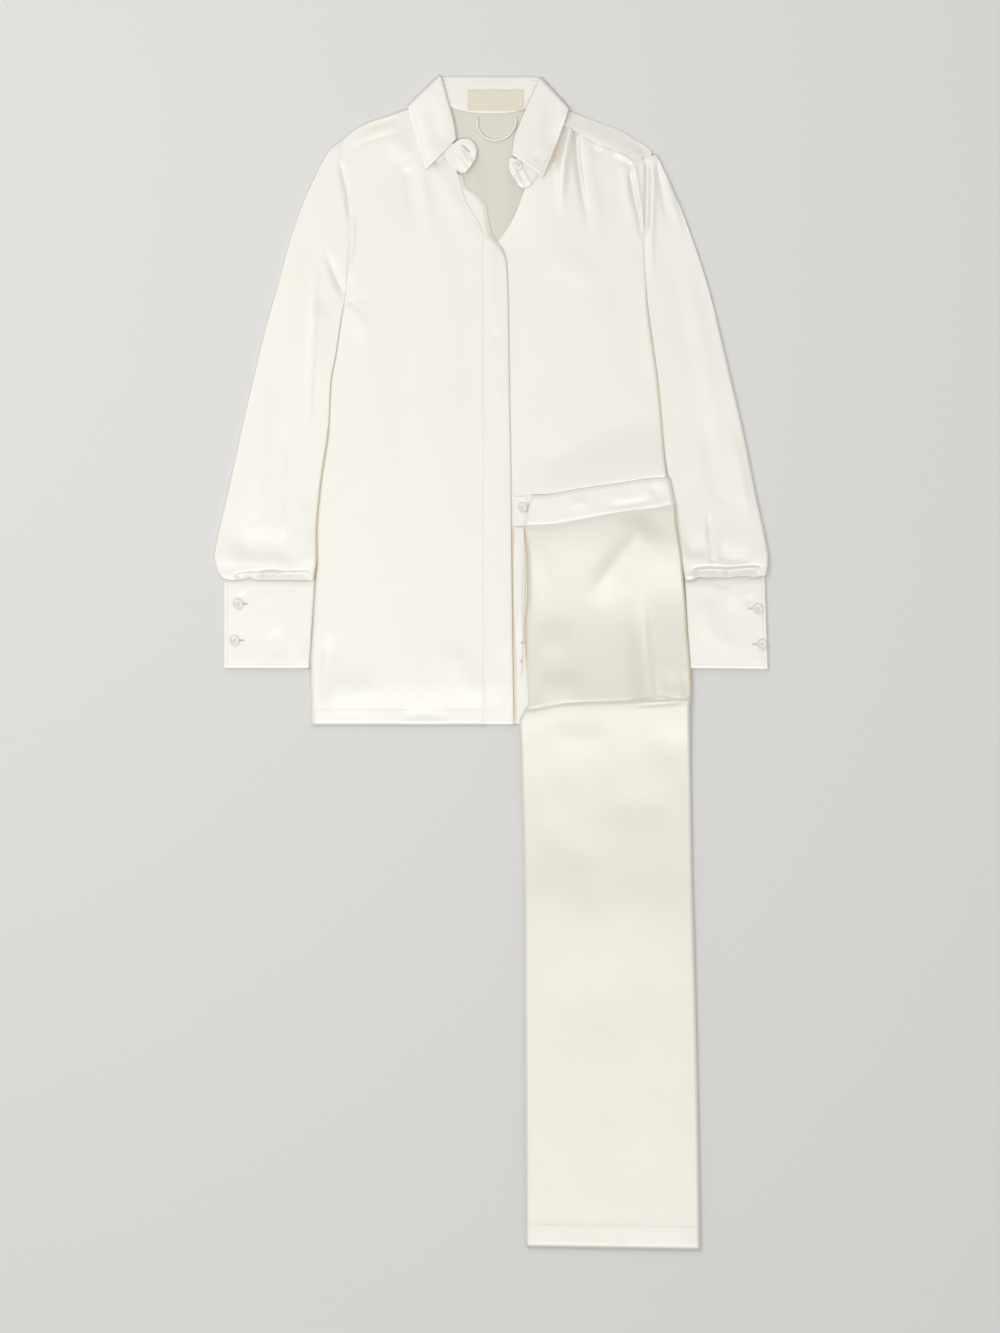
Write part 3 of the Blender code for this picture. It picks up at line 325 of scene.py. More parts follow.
FRONT_LEFT_FOLDS = (
    fold((-192, 40), (-196, -6), (-204, -56), width=9, height=-0.9),
    fold((-205, -30), (-170, -38), (-130, -32), width=17, height=0.6),
    fold((-62, 30), (-30, -20), (2, -58), width=17, height=0.7),
    fold((-112, -66), (-80, -60), (-46, -67), width=7, height=-0.5),
    fold((-140, 600), (-152, 400), (-146, 180), width=22, height=0.5),
    fold((-100, 570), (-106, 350), (-92, 120), width=20, height=-0.45),
    fold((-56, 530), (-50, 330), (-58, 90), width=18, height=0.5),
    fold((-166, 548), (-166, 505), (-172, 458), width=2.6, height=0.8),
    fold((-167, 468), (-168, 456), (-174, 440), width=4.5, height=-0.6, fade=(0.6, 0.1)),
    fold((-71, 595), (-60, 603), (-47, 615), width=6, height=-2.2, fade=(0.3, 0.1)),
    fold((-164, 434), (-160, 416), (-154, 380), width=9, height=0.8, fade=(0.12, 0.6)),
    fold((-148, 420), (-162, 426), (-172, 436), width=4, height=-0.5, fade=(0.5, 0.1)),
    fold((-128, 624), (-110, 620), (-96, 604), width=11, height=0.6, fade=(0.3, 0.3)),
    fold((-98, 596), (-92, 583), (-84, 572), width=8, height=-0.35, fade=(0.3, 0.4)),
    fold((-90, 606), (-84, 586), (-77, 546), (-72, 490), width=7, height=0.6, fade=(0.3, 0.6)),
    fold((-104, 600), (-98, 566), (-92, 520), width=7, height=-0.5, fade=(0.2, 0.6)),
    fold((-60, 600), (-50, 566), (-30, 528), width=9, height=0.5),
    fold((-176, 437.5), (-158, 436), (-128, 438), width=3.4, height=-0.12, fade=(0, 0.7)),
)
FRONT_RIGHT_FOLDS = (
    fold((96, 664), (93, 640), (87, 600), (84, 565), (83, 528), width=6, height=4, fade=(0.03, 0.68)),
    fold((94, 660), (86, 632), (77, 606), (67, 582), width=5, height=-4.4, fade=(0.03, 0.4)),
    fold((99, 665), (102, 643), (104, 601), (111, 556), (120, 510), width=3.4, height=-3, fade=(0.02, 0.6)),
    fold((112, 636), (116, 600), (126, 540), (130, 470), width=9, height=0.9, fade=(0.1, 0.6)),
    fold((102, 641), (114, 637), (126, 631), (138, 622), width=4.2, height=1.1, fade=(0.1, 0.2)),
    fold((138, 612), (128, 612), (118, 620), width=4, height=-0.5, fade=(0.3, 0.3)),
    fold((146, 616), (160, 607), (174, 598), width=3.6, height=1.1, fade=(0.2, 0.25)),
    fold((160, 602), (162, 570), (168, 520), width=6, height=1.1, fade=(0.1, 0.6)),
    fold((166, 590), (171, 562), (177, 540), (182, 505), width=2.6, height=-1.7, fade=(0.15, 0.3)),
    fold((172, 600), (176, 575), (180, 545), (184, 512), width=2, height=1.2, fade=(0.1, 0.3)),
    fold((60, 520), (66, 400), (60, 270), width=18, height=-0.45),
    fold((130, 480), (140, 380), (150, 280), width=20, height=0.5),
    fold((176, 500), (184, 430), (190, 340), width=7, height=0.7),
    fold((70, 500), (100, 470), (140, 462), width=16, height=0.4),
)
PLACKET_FOLDS = (
    fold((14, 20), (18, -20), (15, -58), width=8, height=-0.35),
    fold((2, 393), (8, 391), width=5, height=-0.35, fade=(0, 0)),
    fold((0, 330), (14, 324), width=7, height=0.21),
    fold((4, 520), (0, 470), (2, 400), width=7, height=0.28),
)
YOKE_FOLDS = (
    fold((104, 644), (132, 631), (156, 616), (178, 603), width=10, height=1.1, fade=(0.1, 0.1)),
    fold((-168, 622), (-140, 636), (-108, 646), width=6, height=0.5),
    fold((-150, 640), (-120, 652), (-102, 656), width=4, height=-0.4),
    fold((176, 622), (186, 610), (190, 602), width=4, height=-0.8, fade=(0.1, 0.1)),
)
LEFT_SLEEVE_FOLDS = (
    fold((-208, 500), (-213, 400), (-219, 300), (-230, 230), width=5, height=0.8, lean=0.2),
    fold((-206, 432), (-208, 385), (-213, 300), width=12, height=0.7, fade=(0.12, 0.5)),
    fold((-199, 498), (-192, 478), (-185, 460), (-176, 442), width=4.5, height=-1.3, fade=(0.6, 0.1)),
    fold((-181, 602), (-176, 580), (-172, 560), (-169, 530), width=2.6, height=-1.6, fade=(0.2, 0.3)),
    fold((-230, 437), (-200, 437), (-178, 438), width=4, height=-0.14, fade=(0.5, 0)),
    fold((-226, 520), (-243, 420), (-262, 330), width=13, height=0.6),
    fold((-262, 340), (-280, 250), (-292, 170), width=10, height=0.7),
    fold((-240, 300), (-258, 220), (-266, 150), width=11, height=-0.5),
    fold((-292, 290), (-306, 220), (-316, 150), width=7, height=0.6),
    fold((-284, 176), (-276, 168), width=7, height=-0.2, fade=(0.4, 0.4)),
    fold((-224, 200), (-224, 160), (-230, 128), width=9, height=0.6),
    fold((-249, 268), (-250.5, 210), (-252, 142), width=2.6, height=0.5, fade=(0.2, 0.2)),
    fold((-316, 130), (-292, 136), (-264, 136), (-238, 131), (-222, 128),
         width=17, height=-1.7, lean=-0.4, fade=(0.3, 0.3)),
    fold((-312, 105), (-290, 106.5), (-262, 107), (-234, 107.5), (-216, 108),
         width=4.2, height=-1.6, lean=0.4, fade=(0.2, 0.05)),
    fold((-306, 107), (-300, 101), width=2.4, height=-0.9, fade=(0.3, 0)),
    fold((-278, 106), (-264, 109), (-251, 107), width=4, height=-1.3, lean=0.3, fade=(0.2, 0.2)),
    fold((-288, 109), (-286, 101), width=2.2, height=-0.5, fade=(0.3, 0)),
    fold((-238, 109), (-236, 101), width=2.4, height=-0.6, fade=(0.3, 0)),
)
RIGHT_SLEEVE_FOLDS = (
    fold((188, 604), (187.5, 560), (186.5, 512), width=3.2, height=-2.6, fade=(0.1, 0.2)),
    fold((195, 606), (194, 560), (192, 510), (193, 430), width=4.2, height=1.3, fade=(0.1, 0.6)),
    fold((199, 602), (206, 560), (215, 515), width=3.6, height=-1.2, fade=(0.1, 0.6)),
    fold((205, 600), (217, 560), (232, 500), width=4.5, height=0.8, fade=(0.1, 0.6)),
    fold((212, 590), (228, 540), (240, 500), width=3.2, height=-0.6, fade=(0.1, 0.6)),
    fold((210, 520), (228, 430), (250, 320), width=12, height=-0.5),
    fold((232, 480), (252, 380), (272, 270), width=11, height=0.6),
    fold((256, 300), (266, 230), (272, 180), width=9, height=-0.5),
    fold((285, 290), (300, 220), (310, 160), width=8, height=0.6),
    fold((262, 184), (264.5, 150), (266.5, 120), width=2.6, height=-1.3, lean=0.5, fade=(0.4, 0.05)),
    fold((232, 131), (248, 135), (262, 131), width=12, height=-0.9, lean=-0.4, fade=(0.3, 0.2)),
    fold((268, 130), (290, 124), (316, 124), width=10, height=-0.9, lean=-0.4, fade=(0.2, 0.3)),
    fold((272, 206), (284, 190), width=6, height=-0.2, fade=(0.3, 0.3)),
    fold((240, 110), (262, 112), (286, 111), (306, 113), (324, 113),
         width=6, height=-2.4, lean=0.55, fade=(0.12, 0.06)),
    fold((232, 103), (250, 106), (268, 109), width=1.8, height=0.5, fade=(0.2, 0.3)),
    fold((282, 113), (285, 101), width=2.2, height=-0.8, fade=(0.2, 0)),
    fold((272, 110), (273, 101), width=2, height=-0.5, fade=(0.2, 0)),
)
LEFT_CUFF_FOLDS = (
    fold((-304, 82), (-298, 79), (-292, 80), width=4, height=-0.5),
    fold((-262, 40), (-256, 20), (-258, 4), width=10, height=-0.4),
    fold((-280, 84), (-264, 70), width=9, height=0.35),
    fold((-240, 92), (-236, 30), (-240, -2), width=9, height=0.35),
)
RIGHT_CUFF_FOLDS = (
    fold((264, 96), (276, 94), (292, 95), width=3.4, height=-0.7),
    fold((307, 78), (312, 72), width=4, height=-0.5),
    fold((290, 80), (286, 20), width=10, height=-0.4),
    fold((256, 80), (262, 20), width=9, height=0.35),
)
LEG_FOLDS = (
    fold((146, 163), (166, 164), (188, 168), width=10, height=0.6, lean=0.3),
    fold((196, 176), (163, 136), (136, 101), (118, 66), width=19, height=1.7, lean=-0.34, fade=(0.25, 0.4)),
    fold((180, 104), (183, 50), (187, 4), (192, -44), width=12, height=-2, lean=0.5, fade=(0.7, 0.02)),
    fold((195, 22), (196, -10), (197, -44), width=2.6, height=0.6, fade=(0.5, 0.05)),
    fold((54, 34), (76, 26), (100, 18), width=20, height=0.5),
    fold((52, -34), (84, -30), (124, -38), width=18, height=0.8, fade=(0.3, 0.5)),
    fold((206, 10), (203, -12), (207, -38), width=5, height=0.15, fade=(0.3, 0.1)),
    fold((217, -8), (214, -26), (211, -42), width=7, height=-0.4, fade=(0.5, 0.02)),
    fold((232, -8), (234, -26), (236, -40), width=4, height=-0.5, fade=(0.5, 0.02)),
    fold((60, 158), (62, 100), (60, 50), width=9, height=0.3),
    fold((166, -52), (196, -50), (234, -47), width=2.4, height=-0.35, fade=(0.4, 0.2)),
    fold((60, -84), (110, -92), (150, -84), width=16, height=0.5),
    fold((190, -80), (212, -100), (232, -106), width=18, height=-0.35),
    fold((130, -150), (176, -172), (228, -160), width=24, height=-0.5),
    fold((60, -170), (80, -210), (130, -250), width=20, height=-0.4),
    fold((60, -230), (100, -300), (90, -420), width=34, height=0.45),
    fold((190, -240), (200, -360), (180, -520), width=30, height=0.4),
    fold((130, -300), (140, -440), (120, -620), width=26, height=-0.35),
)
WAISTBAND_FOLDS = (
    fold((134, 187), (166, 190), (200, 197), width=4.5, height=-0.5),
    fold((190, 214), (198, 205), (205, 192), width=8, height=-0.5),
    fold((90, 190), (120, 194), width=6, height=0.3),
)
TAB_FOLDS = (
    fold((-38, 616), (-30, 604), (-22, 598), width=2.2, height=0.9, fade=(0.2, 0.1)),
    fold((-40, 608), (-33, 597), (-28, 590), width=2, height=0.8, fade=(0.2, 0.1)),
    fold((-34, 619), (-27, 613), width=1.6, height=-0.4),
    fold((-28, 626), (-21, 618), (-20, 608), width=2.2, height=0.5),
    fold((26, 598), (30, 586), (36, 574), width=2.2, height=0.9, fade=(0.1, 0.1)),
    fold((38, 592), (42, 582), (48, 574), width=2.2, height=0.8, fade=(0.1, 0.1)),
    fold((24, 588), (32, 578), width=2, height=-0.5),
)
LEAF_FOLDS = (
    fold((-70, 684), (-66, 640), (-58, 612), width=7, height=-0.5),
    fold((-84, 664), (-80, 630), (-74, 602), width=8, height=0.4),
    fold((60, 680), (58, 640), (52, 606), width=8, height=0.4),
    fold((48, 612), (58, 604), (68, 606), width=6, height=-0.4),
)


# ---------------- materials


def new_material(name):
    made = bpy.data.materials.new(name)
    made.use_nodes = True
    return made, made.node_tree, made.node_tree.nodes["Principled BSDF"]


def feed(tree, node, inputs):
    """Sets each input of a node to a constant, or links it to the output that feeds it."""
    for socket, value in inputs.items():
        if isinstance(value, bpy.types.NodeSocket):
            tree.links.new(value, node.inputs[socket])
        else:
            node.inputs[socket].default_value = value


def add(tree, kind, inputs=None, **settings):
    node = tree.nodes.new(kind)
    for name, value in settings.items():
        setattr(node, name, value)
    feed(tree, node, inputs or {})
    return node


def worked_out(tree, operation, *values):
    return add(tree, "ShaderNodeMath", dict(enumerate(values)), operation=operation).outputs[0]


def blended(tree, factor, a, b):
    return add(tree, "ShaderNodeMix", {"Factor": factor, "A": a, "B": b}, data_type="RGBA").outputs["Result"]


def noise(tree, place, scale, **others):
    return add(tree, "ShaderNodeTexNoise", {"Vector": place, "Scale": scale, **others}).outputs["Fac"]


def bumped(tree, height, distance):
    inputs = {"Strength": 1.0, "Distance": distance, "Height": height}
    return add(tree, "ShaderNodeBump", inputs).outputs["Normal"]


def weave_group():
    """Threads, slight crumple and uneven colour from the cloth's own map in metres, with painted warm shade
    where the cloth's attribute asks for it.
    """
    group = bpy.data.node_groups.new("Woven threads", "ShaderNodeTree")
    colour_kind, number_kind = "NodeSocketColor", "NodeSocketFloat"
    inputs = (
        ("Thread colour", colour_kind, (0.7, 0.7, 0.7, 1)),
        ("Shade colour", colour_kind, (0.6, 0.6, 0.6, 1)),
        # The colour of the painted warm shade in creases and narrow gaps.
        ("Painted shade colour", colour_kind, (0.58, 0.42, 0.22, 1)),
        ("Threads per metre", number_kind, 2400.0),
        ("Float length", number_kind, 12.0),
        ("Thread relief", number_kind, 0.004),
        ("Crumple relief", number_kind, 0.008),
        ("Roughness", number_kind, 0.4),
    )
    for name, kind, value in inputs:
        group.interface.new_socket(name, in_out="INPUT", socket_type=kind).default_value = value
    for name, kind in (("Colour", colour_kind), ("Roughness", number_kind), ("Height", number_kind)):
        group.interface.new_socket(name, in_out="OUTPUT", socket_type=kind)
    taken = add(group, "NodeGroupInput").outputs
    cloth_map = add(group, "ShaderNodeUVMap", uv_map="cloth").outputs["UV"]
    along = worked_out(group, "DIVIDE", taken["Threads per metre"], taken["Float length"])
    pitch = add(group, "ShaderNodeCombineXYZ", {"X": taken["Threads per metre"], "Y": along})
    scaled = add(group, "ShaderNodeVectorMath", {0: cloth_map, 1: pitch.outputs[0]}, operation="MULTIPLY")
    threads = noise(group, scaled.outputs[0], 1.0, Detail=1.0)
    crumple = noise(group, cloth_map, 45.0, Detail=3.0)
    patches = noise(group, cloth_map, 9.0, Detail=2.0)
    tone = worked_out(group, "MULTIPLY_ADD", patches, 0.55, worked_out(group, "MULTIPLY", threads, 0.35))
    colour = blended(group, tone, taken["Thread colour"], taken["Shade colour"])
    # Painted warm shade: darkens and warms the colour by the cloth's per-point attribute.
    painted_shade_mask = add(group, "ShaderNodeAttribute", attribute_name="painted_warm_shade").outputs["Fac"]
    gloss = worked_out(group, "SUBTRACT", taken["Roughness"], 0.015)
    relief = worked_out(group, "MULTIPLY", threads, taken["Thread relief"])
    given = {
        "Colour": blended(group, painted_shade_mask, colour, taken["Painted shade colour"]),
        "Roughness": worked_out(group, "MULTIPLY_ADD", crumple, 0.03, gloss),
        "Height": worked_out(group, "MULTIPLY_ADD", crumple, taken["Crumple relief"], relief),
    }
    add(group, "NodeGroupOutput", given)
    return group


WOVEN = weave_group()


def woven(name, colour, shade, roughness, specular, **values):
    """A cloth finish: the shared weave with its own colours, gloss and relief."""
    made, tree, surface = new_material(name)
    own = {socket.replace("_", " "): value for socket, value in values.items()}
    own.update({"Thread colour": (*colour, 1), "Shade colour": (*shade, 1), "Roughness": roughness})
    weave = add(tree, "ShaderNodeGroup", own, node_tree=WOVEN)
    finish = {
        "Base Color": weave.outputs["Colour"],
        "Roughness": weave.outputs["Roughness"],
        "Normal": bumped(tree, weave.outputs["Height"], MM),
        "Specular IOR Level": specular,
    }
    feed(tree, surface, finish)
    return made


SATIN_FACE = woven(
    "Ivory satin", (0.757, 0.738, 0.678), (0.722, 0.701, 0.635), roughness=0.38, specular=0.85
)
# Painted shade: the same satin as the shirt, made darker so the trousers look dimmer under the lamps.
LEG_SATIN_PAINTED_DARKER = woven(
    "Ivory satin of the trousers, painted darker", (0.652, 0.626, 0.553), (0.617, 0.588, 0.509), roughness=0.38, specular=0.85
)
SATIN_BACK = woven(
    "Satin, wrong side", (0.65, 0.632, 0.558), (0.607, 0.585, 0.503), roughness=0.55, specular=0.4,
    Float_length=2.0,
)
THREAD = woven(
    "Sewing thread", (0.72, 0.69, 0.61), (0.66, 0.62, 0.53), roughness=0.6, specular=0.2, Float_length=3.0
)
LABEL_CLOTH = woven(
    "Woven label", (0.70, 0.655, 0.55), (0.64, 0.59, 0.48), roughness=0.55, specular=0.4,
    Threads_per_metre=3200.0, Float_length=1.5, Thread_relief=0.02,
)


def nacre_material():
    """Pale nacre for the buttons, in soft layers across the face."""
    made, tree, surface = new_material("Nacre")
    place = add(tree, "ShaderNodeTexCoord").outputs["Object"]
    layers = noise(tree, place, 260.0, Detail=3.0, Distortion=1.6)
    ramp = add(tree, "ShaderNodeValToRGB", {"Fac": layers})
    low, high = ramp.color_ramp.elements
    low.position, low.color = 0.3, (0.64, 0.62, 0.55, 1)
    high.position, high.color = 0.7, (0.75, 0.735, 0.67, 1)
    normal = bumped(tree, layers, 0.02 * MM)
    feed(tree, surface, {"Base Color": ramp.outputs["Color"], "Normal": normal, "Roughness": 0.36})
    return made


NACRE = nacre_material()


# ---------------- making cloth


def join_collection(piece):
    bpy.context.scene.collection.objects.link(piece)
    return piece


def new_mesh(name, points, faces, uvs, materials):
    """A smooth mesh from points in mm, with the cloth's own map in mm at each corner of each face."""
    mesh = bpy.data.meshes.new(name)
    mesh.from_pydata((points * MM).tolist(), [], faces)
    layer = mesh.uv_layers.new(name="cloth")
    layer.data.foreach_set("uv", (np.array(uvs) * MM).astype(np.float32).ravel())
    for each in materials:
        mesh.materials.append(each)
    mesh.shade_smooth()
    mesh.update()
    return join_collection(bpy.data.objects.new(name, mesh))


def select_only(*pieces):
    """Selects these pieces and makes the first one active."""
    bpy.ops.object.select_all(action="DESELECT")
    for piece in pieces:
        piece.select_set(True)
    bpy.context.view_layer.objects.active = pieces[0]


def apply_modifiers(piece):
    select_only(piece)
    for modifier in list(piece.modifiers):
        bpy.ops.object.modifier_apply(modifier=modifier.name)


def step_lengths(points, axis):
    """How far each point of a grid lies along a row or a column, in mm."""
    gaps = np.linalg.norm(np.diff(points, axis=axis), axis=2)
    start = np.zeros_like(gaps.take([0], axis=axis))
    return np.concatenate([start, np.cumsum(gaps, axis=axis)], axis=axis)


# The corners of a grid cell in order, each as steps down and across.
CELL = ((0, 0), (0, 1), (1, 1), (1, 0))


def cells(points, corners, closed=False, keep=None):
    """The faces of a grid of points, and the cloth's own map in mm at each of their corners."""
    rows, columns = points.shape[:2]
    across, along = step_lengths(points, 1), step_lengths(points, 0)
    if closed:
        last = across[:, -1:] + np.linalg.norm(points[:, 0] - points[:, -1], axis=1)[:, None]
        across = np.concatenate([across, last], axis=1)
    faces, uvs = [], []
    for j in range(rows - 1):
        for i in range(columns if closed else columns - 1):
            if keep is not None and not keep(points[j : j + 2, i : i + 2].reshape(-1, 3).mean(axis=0)):
                continue
            cell = [(j + down, (i + over) % columns, i + over) for down, over in corners]
            faces.append([row * columns + column for row, column, _ in cell])
            uvs += [(across[row, at], along[row, column]) for row, column, at in cell]
    return faces, uvs


def cloth(name, points, wall=SATIN, closed=False, turned=False, inside=False, keep=None, face=None):
    """A skin of cloth through a grid of points in mm, with its wall on both sides of them.

    Where a point has a fourth number, it says how much painted warm shade darkens and warms the satin there.
    """
    painted_shade, points = points[..., 3:], points[..., :3]
    faces, uvs = cells(points, CELL[::-1] if turned else CELL, closed, keep)
    face = face or SATIN_FACE
    piece = new_mesh(name, points.reshape(-1, 3), faces, uvs, (face, SATIN_BACK if inside else face))
    # Painted warm shade, kept on the mesh for the weave to read.
    if painted_shade.size:
        piece.data.attributes.new("painted_warm_shade", "FLOAT", "POINT").data.foreach_set("value", painted_shade.ravel())
    if keep is not None:
        loose = bmesh.new()
        loose.from_mesh(piece.data)
        bmesh.ops.delete(loose, geom=[v for v in loose.verts if not v.link_faces], context="VERTS")
        loose.to_mesh(piece.data)
        loose.free()
    solidify = piece.modifiers.new("Wall", "SOLIDIFY")
    solidify.thickness = wall * MM
    solidify.offset = 0
    solidify.material_offset = 1
    apply_modifiers(piece)
    piece.data.set_sharp_from_angle(angle=math.radians(50))
    return piece


def declare(piece, node):
    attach(piece, "root")
    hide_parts(node)


def spaced(low, high, cell, rim=0.7):
    """Places from low to high about a cell apart, with one close to each end to keep the edge crisp."""
    count = max(3, int(round((high - low) / cell)))
    return np.concatenate([[low], np.linspace(low + rim, high - rim, count), [high]])


def shares(length, cell, rim=0.7):
    return spaced(0.0, length, cell, rim) / length


def grid_of(columns, rows, place):
    u, v = np.meshgrid(columns, rows)
    return np.stack(np.broadcast_arrays(*place(u, v)), axis=2)


def normals_of(points):
    along = np.gradient(points, axis=0)
    across = np.gradient(points, axis=1)
    out = np.cross(across, along)
    return out / np.maximum(np.linalg.norm(out, axis=2, keepdims=True), 1e-9)


def read_at(place, lengths, values):
    """Values along a line, read at a length along it."""
    return np.array([np.interp(place, lengths, values[:, axis]) for axis in range(3)])


def line_inside(points, edge, inset):
    """A line on a grid of points, at an inset in mm from one of its edges, with the cloth's normals."""
    out = normals_of(points)
    if edge in ("first", "last"):
        points, out = points.transpose(1, 0, 2), out.transpose(1, 0, 2)
    if edge in ("last", "right"):
        points, out = points[:, ::-1], out[:, ::-1]
    lengths = step_lengths(points, 1)
    line = [read_at(inset, length, row) for length, row in zip(lengths, points)]
    up = [read_at(inset, length, row) for length, row in zip(lengths, out)]
    return np.array(line), np.array(up)


def threads(name, humps, width):
    """Low humps of thread. Each has four ring middles with their thickness, and its side and upward ways."""
    points, faces, uvs = [], [], []
    for rings, aside, up in humps:
        base = len(points)
        for middle, fat in rings:
            for side, rise in ((-1, 0), (0, 1), (1, 0), (0, -1)):
                points.append(middle + aside * side * fat * width / 2 + up * rise * fat * width / 2)
        for ring in range(3):
            for k in range(4):
                a, b = base + ring * 4 + k, base + ring * 4 + (k + 1) % 4
                faces.append([a, b, b + 4, a + 4])
                uvs += [(k, ring), (k + 1, ring), (k + 1, ring + 1), (k, ring + 1)]
        faces += [[base + k for k in (3, 2, 1, 0)], [base + k for k in (12, 13, 14, 15)]]
        uvs += [(0, 0), (1, 0), (1, 1), (0, 1)] * 2
    piece = new_mesh(name, np.array(points), faces, uvs, (THREAD,))
    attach(piece, "root")


# Places of the rings along a stitch and along a bar, as shares of its length, with their thickness.
STITCH_RINGS = ((-0.5, 0.25), (-0.25, 1.0), (0.25, 1.0), (0.5, 0.25))
BAR_RINGS = ((0.0, 0.3), (0.2, 1.0), (0.8, 1.0), (1.0, 0.3))
STITCH_LIFT, STITCH_DIP = 0.02, 0.12


def stitches(name, lines, wall, pitch=2.6, length=2.0, width=0.42):
    """Rows of machine stitches: low thread humps that lie on the cloth along each line."""
    humps = []
    for line, up in lines:
        up = np.where(up[:, 2:] < -0.2, -up, up) if up[:, 2].mean() < 0 else up
        gone = np.concatenate([[0], np.cumsum(np.linalg.norm(np.diff(line, axis=0), axis=1))])
        for start in np.arange(pitch / 2, gone[-1] - pitch / 2, pitch):
            centre, out = read_at(start, gone, line), read_at(start, gone, up)
            ahead = read_at(start + 0.5, gone, line) - centre
            ahead /= np.linalg.norm(ahead)
            aside = np.cross(out, ahead)
            aside /= np.linalg.norm(aside)
            rings = []
            for share, fat in STITCH_RINGS:
                lift = wall / 2 + STITCH_LIFT - STITCH_DIP * (abs(share) > 0.4)
                rings.append((centre + ahead * share * length + out * lift, fat))
            humps.append((rings, aside, out))
    threads(name, humps, width)


# ---------------- shirt body


def side_x(side, y):
    """The shirt's side edge: the side seam, then the armhole seam above the underarm."""
    hole = ARMHOLES[side]
    share = np.clip((y - UNDERARM_Y) / (hole["y_high"] - UNDERARM_Y), 0, 1)
    armhole = mix(hole["x_low"], hole["x_high"], share) + hole["bow"] * 4 * share * (1 - share)
    return np.where(y > UNDERARM_Y, armhole, BODY_SIDES(side, y))


INSIDE_FOLDS = (
    fold((21, 622), (17, 560), (10, 500), (12, 440), width=10, height=1.3, fade=(0.2, 0.3)),
    fold((-24, 622), (-22, 590), (-10, 530), width=9, height=0.9),
)


def back():
    def place(u, y):
        x = mix(side_x("left", y), side_x("right", y), u)
        at_seam = 0.2 * ease((y - YOKE_BACK_Y + 2) / 2)
        return x, y, ON_TABLE + np.maximum(folded(x, y, INSIDE_FOLDS), 0) - at_seam

    points = grid_of(shares(430, BACK_CELL), spaced(HEM_Y, YOKE_BACK_Y, BACK_CELL), place)
    piece = cloth("panel_back", points, turned=True, inside=True)
    declare(piece, "shirt_back")


def neck_level(x, y):
    """Height of the back of the yoke: flat on the table, and raised over the collar near the neck."""
    near_neck = ease((130 - np.abs(x)) / 28)
    return ON_TABLE + (NECK - ON_TABLE) * ease((y - 606) / 34) * near_neck


YOKE_BACK_ROWS, YOKE_FOLD_ROWS, YOKE_FRONT_ROWS = 28, 9, 12
YOKE_NECK_COLUMNS, YOKE_SHOULDER_COLUMNS = 24, 41
NECK_HALF = 69


def yoke():
    """From the back seam up to the neck, and over each shoulder down to the seam with the front."""
    columns = np.append(np.linspace(2, 68, YOKE_NECK_COLUMNS), 69.4)
    across = [0.0]
    for side in ("left", "right"):
        end = abs(YOKE_END[side])
        half = np.concatenate([columns, np.linspace(70.5, 0.995 * end, YOKE_SHOULDER_COLUMNS), [end]]) / end
        across = np.concatenate([-half[::-1], across] if side == "left" else [across, half])

    def place(share, row):
        end = np.where(share < 0, -YOKE_END["left"], YOKE_END["right"])
        x = share * end
        sunk = mix(0.4, 2.7, ease((x + 120) / 220))
        low, high = neck_level(x, 660.0), FRONT - sunk
        radius = (high - low) / 2
        crest = SHOULDERS("fold", x) - radius - HALF_WALL
        top = np.where(np.abs(x) < NECK_HALF - 0.5, NECK_SEAM("y", x) + 1.4, crest)
        y_back = mix(YOKE_BACK_Y - 1.5, top, np.clip(row / YOKE_BACK_ROWS, 0, 1))
        angle = np.clip((row - YOKE_BACK_ROWS) / YOKE_FOLD_ROWS, 0, 1) * math.pi
        down = np.clip((row - YOKE_BACK_ROWS - YOKE_FOLD_ROWS) / YOKE_FRONT_ROWS, 0, 1)
        y_over = np.where(down > 0, mix(crest, SHOULDERS("seam", x), down), crest + radius * np.sin(angle))
        y = np.where(row <= YOKE_BACK_ROWS, y_back, y_over)
        under_stand = 0.65 * ease((y - NECK_SEAM("y", x) + 1.6) / 1.6) * (np.abs(x) < NECK_HALF)
        over_back = 0.2 * ease((YOKE_BACK_Y + 4 - y) / 4) + np.maximum(folded(x, y, INSIDE_FOLDS), 0)
        flat = neck_level(x, y) - under_stand + over_back
        z = np.where(row <= YOKE_BACK_ROWS, flat, high - radius * (1 + np.cos(angle)))
        loose = slack(x, y, seed=31, amount=0.6) * ease(down * 3)
        z = z + np.where(down > 0, sunk * ease(down * 0.8 + 0.1) + folded(x, y, YOKE_FOLDS) + loose, 0)
        z = z - np.where(down > 0, 0.12 * ease((down - 0.88) / 0.12), 0)
        left = side_x("left", y) - YOKE_END["left"]
        right = side_x("right", y) + 9.6 * ease((y - 603) / 8) - YOKE_END["right"]
        return x + np.where(share < 0, left, right) * np.abs(share) ** 8, y, z

    def keep(centre):
        below_seam = centre[1] < float(NECK_SEAM("y", centre[0])) + 1.4
        return abs(centre[0]) > NECK_HALF or (centre[2] < NECK + 0.3 and below_seam)

    points = grid_of(across, np.arange(YOKE_BACK_ROWS + YOKE_FOLD_ROWS + YOKE_FRONT_ROWS + 1), place)
    piece = cloth("panel_yoke", points, turned=True, inside=True, keep=keep)
    declare(piece, "shirt_yoke")
    return points


# Rows of a front below the split are heights in y. Above it they are this much plus a share of the way up.
FRONT_SPLIT_Y = 450.0
SHARED_ROWS = 1000.0


def front_rows():
    low = spaced(HEM_Y, FRONT_SPLIT_Y, FRONT_CELL)[:-2]
    return np.concatenate([low, SHARED_ROWS + shares(185, FRONT_CELL)])


def front_y(row, x):
    """Rows of a front: level ones up to the armhole, then shares of the way from there to the yoke."""
    covered = 1.6 + 2.6 * ease((-138 - x) / 20)
    upper = mix(FRONT_SPLIT_Y, SHOULDERS("seam", x) + covered, row - SHARED_ROWS)
    return np.where(row < SHARED_ROWS, row, upper)


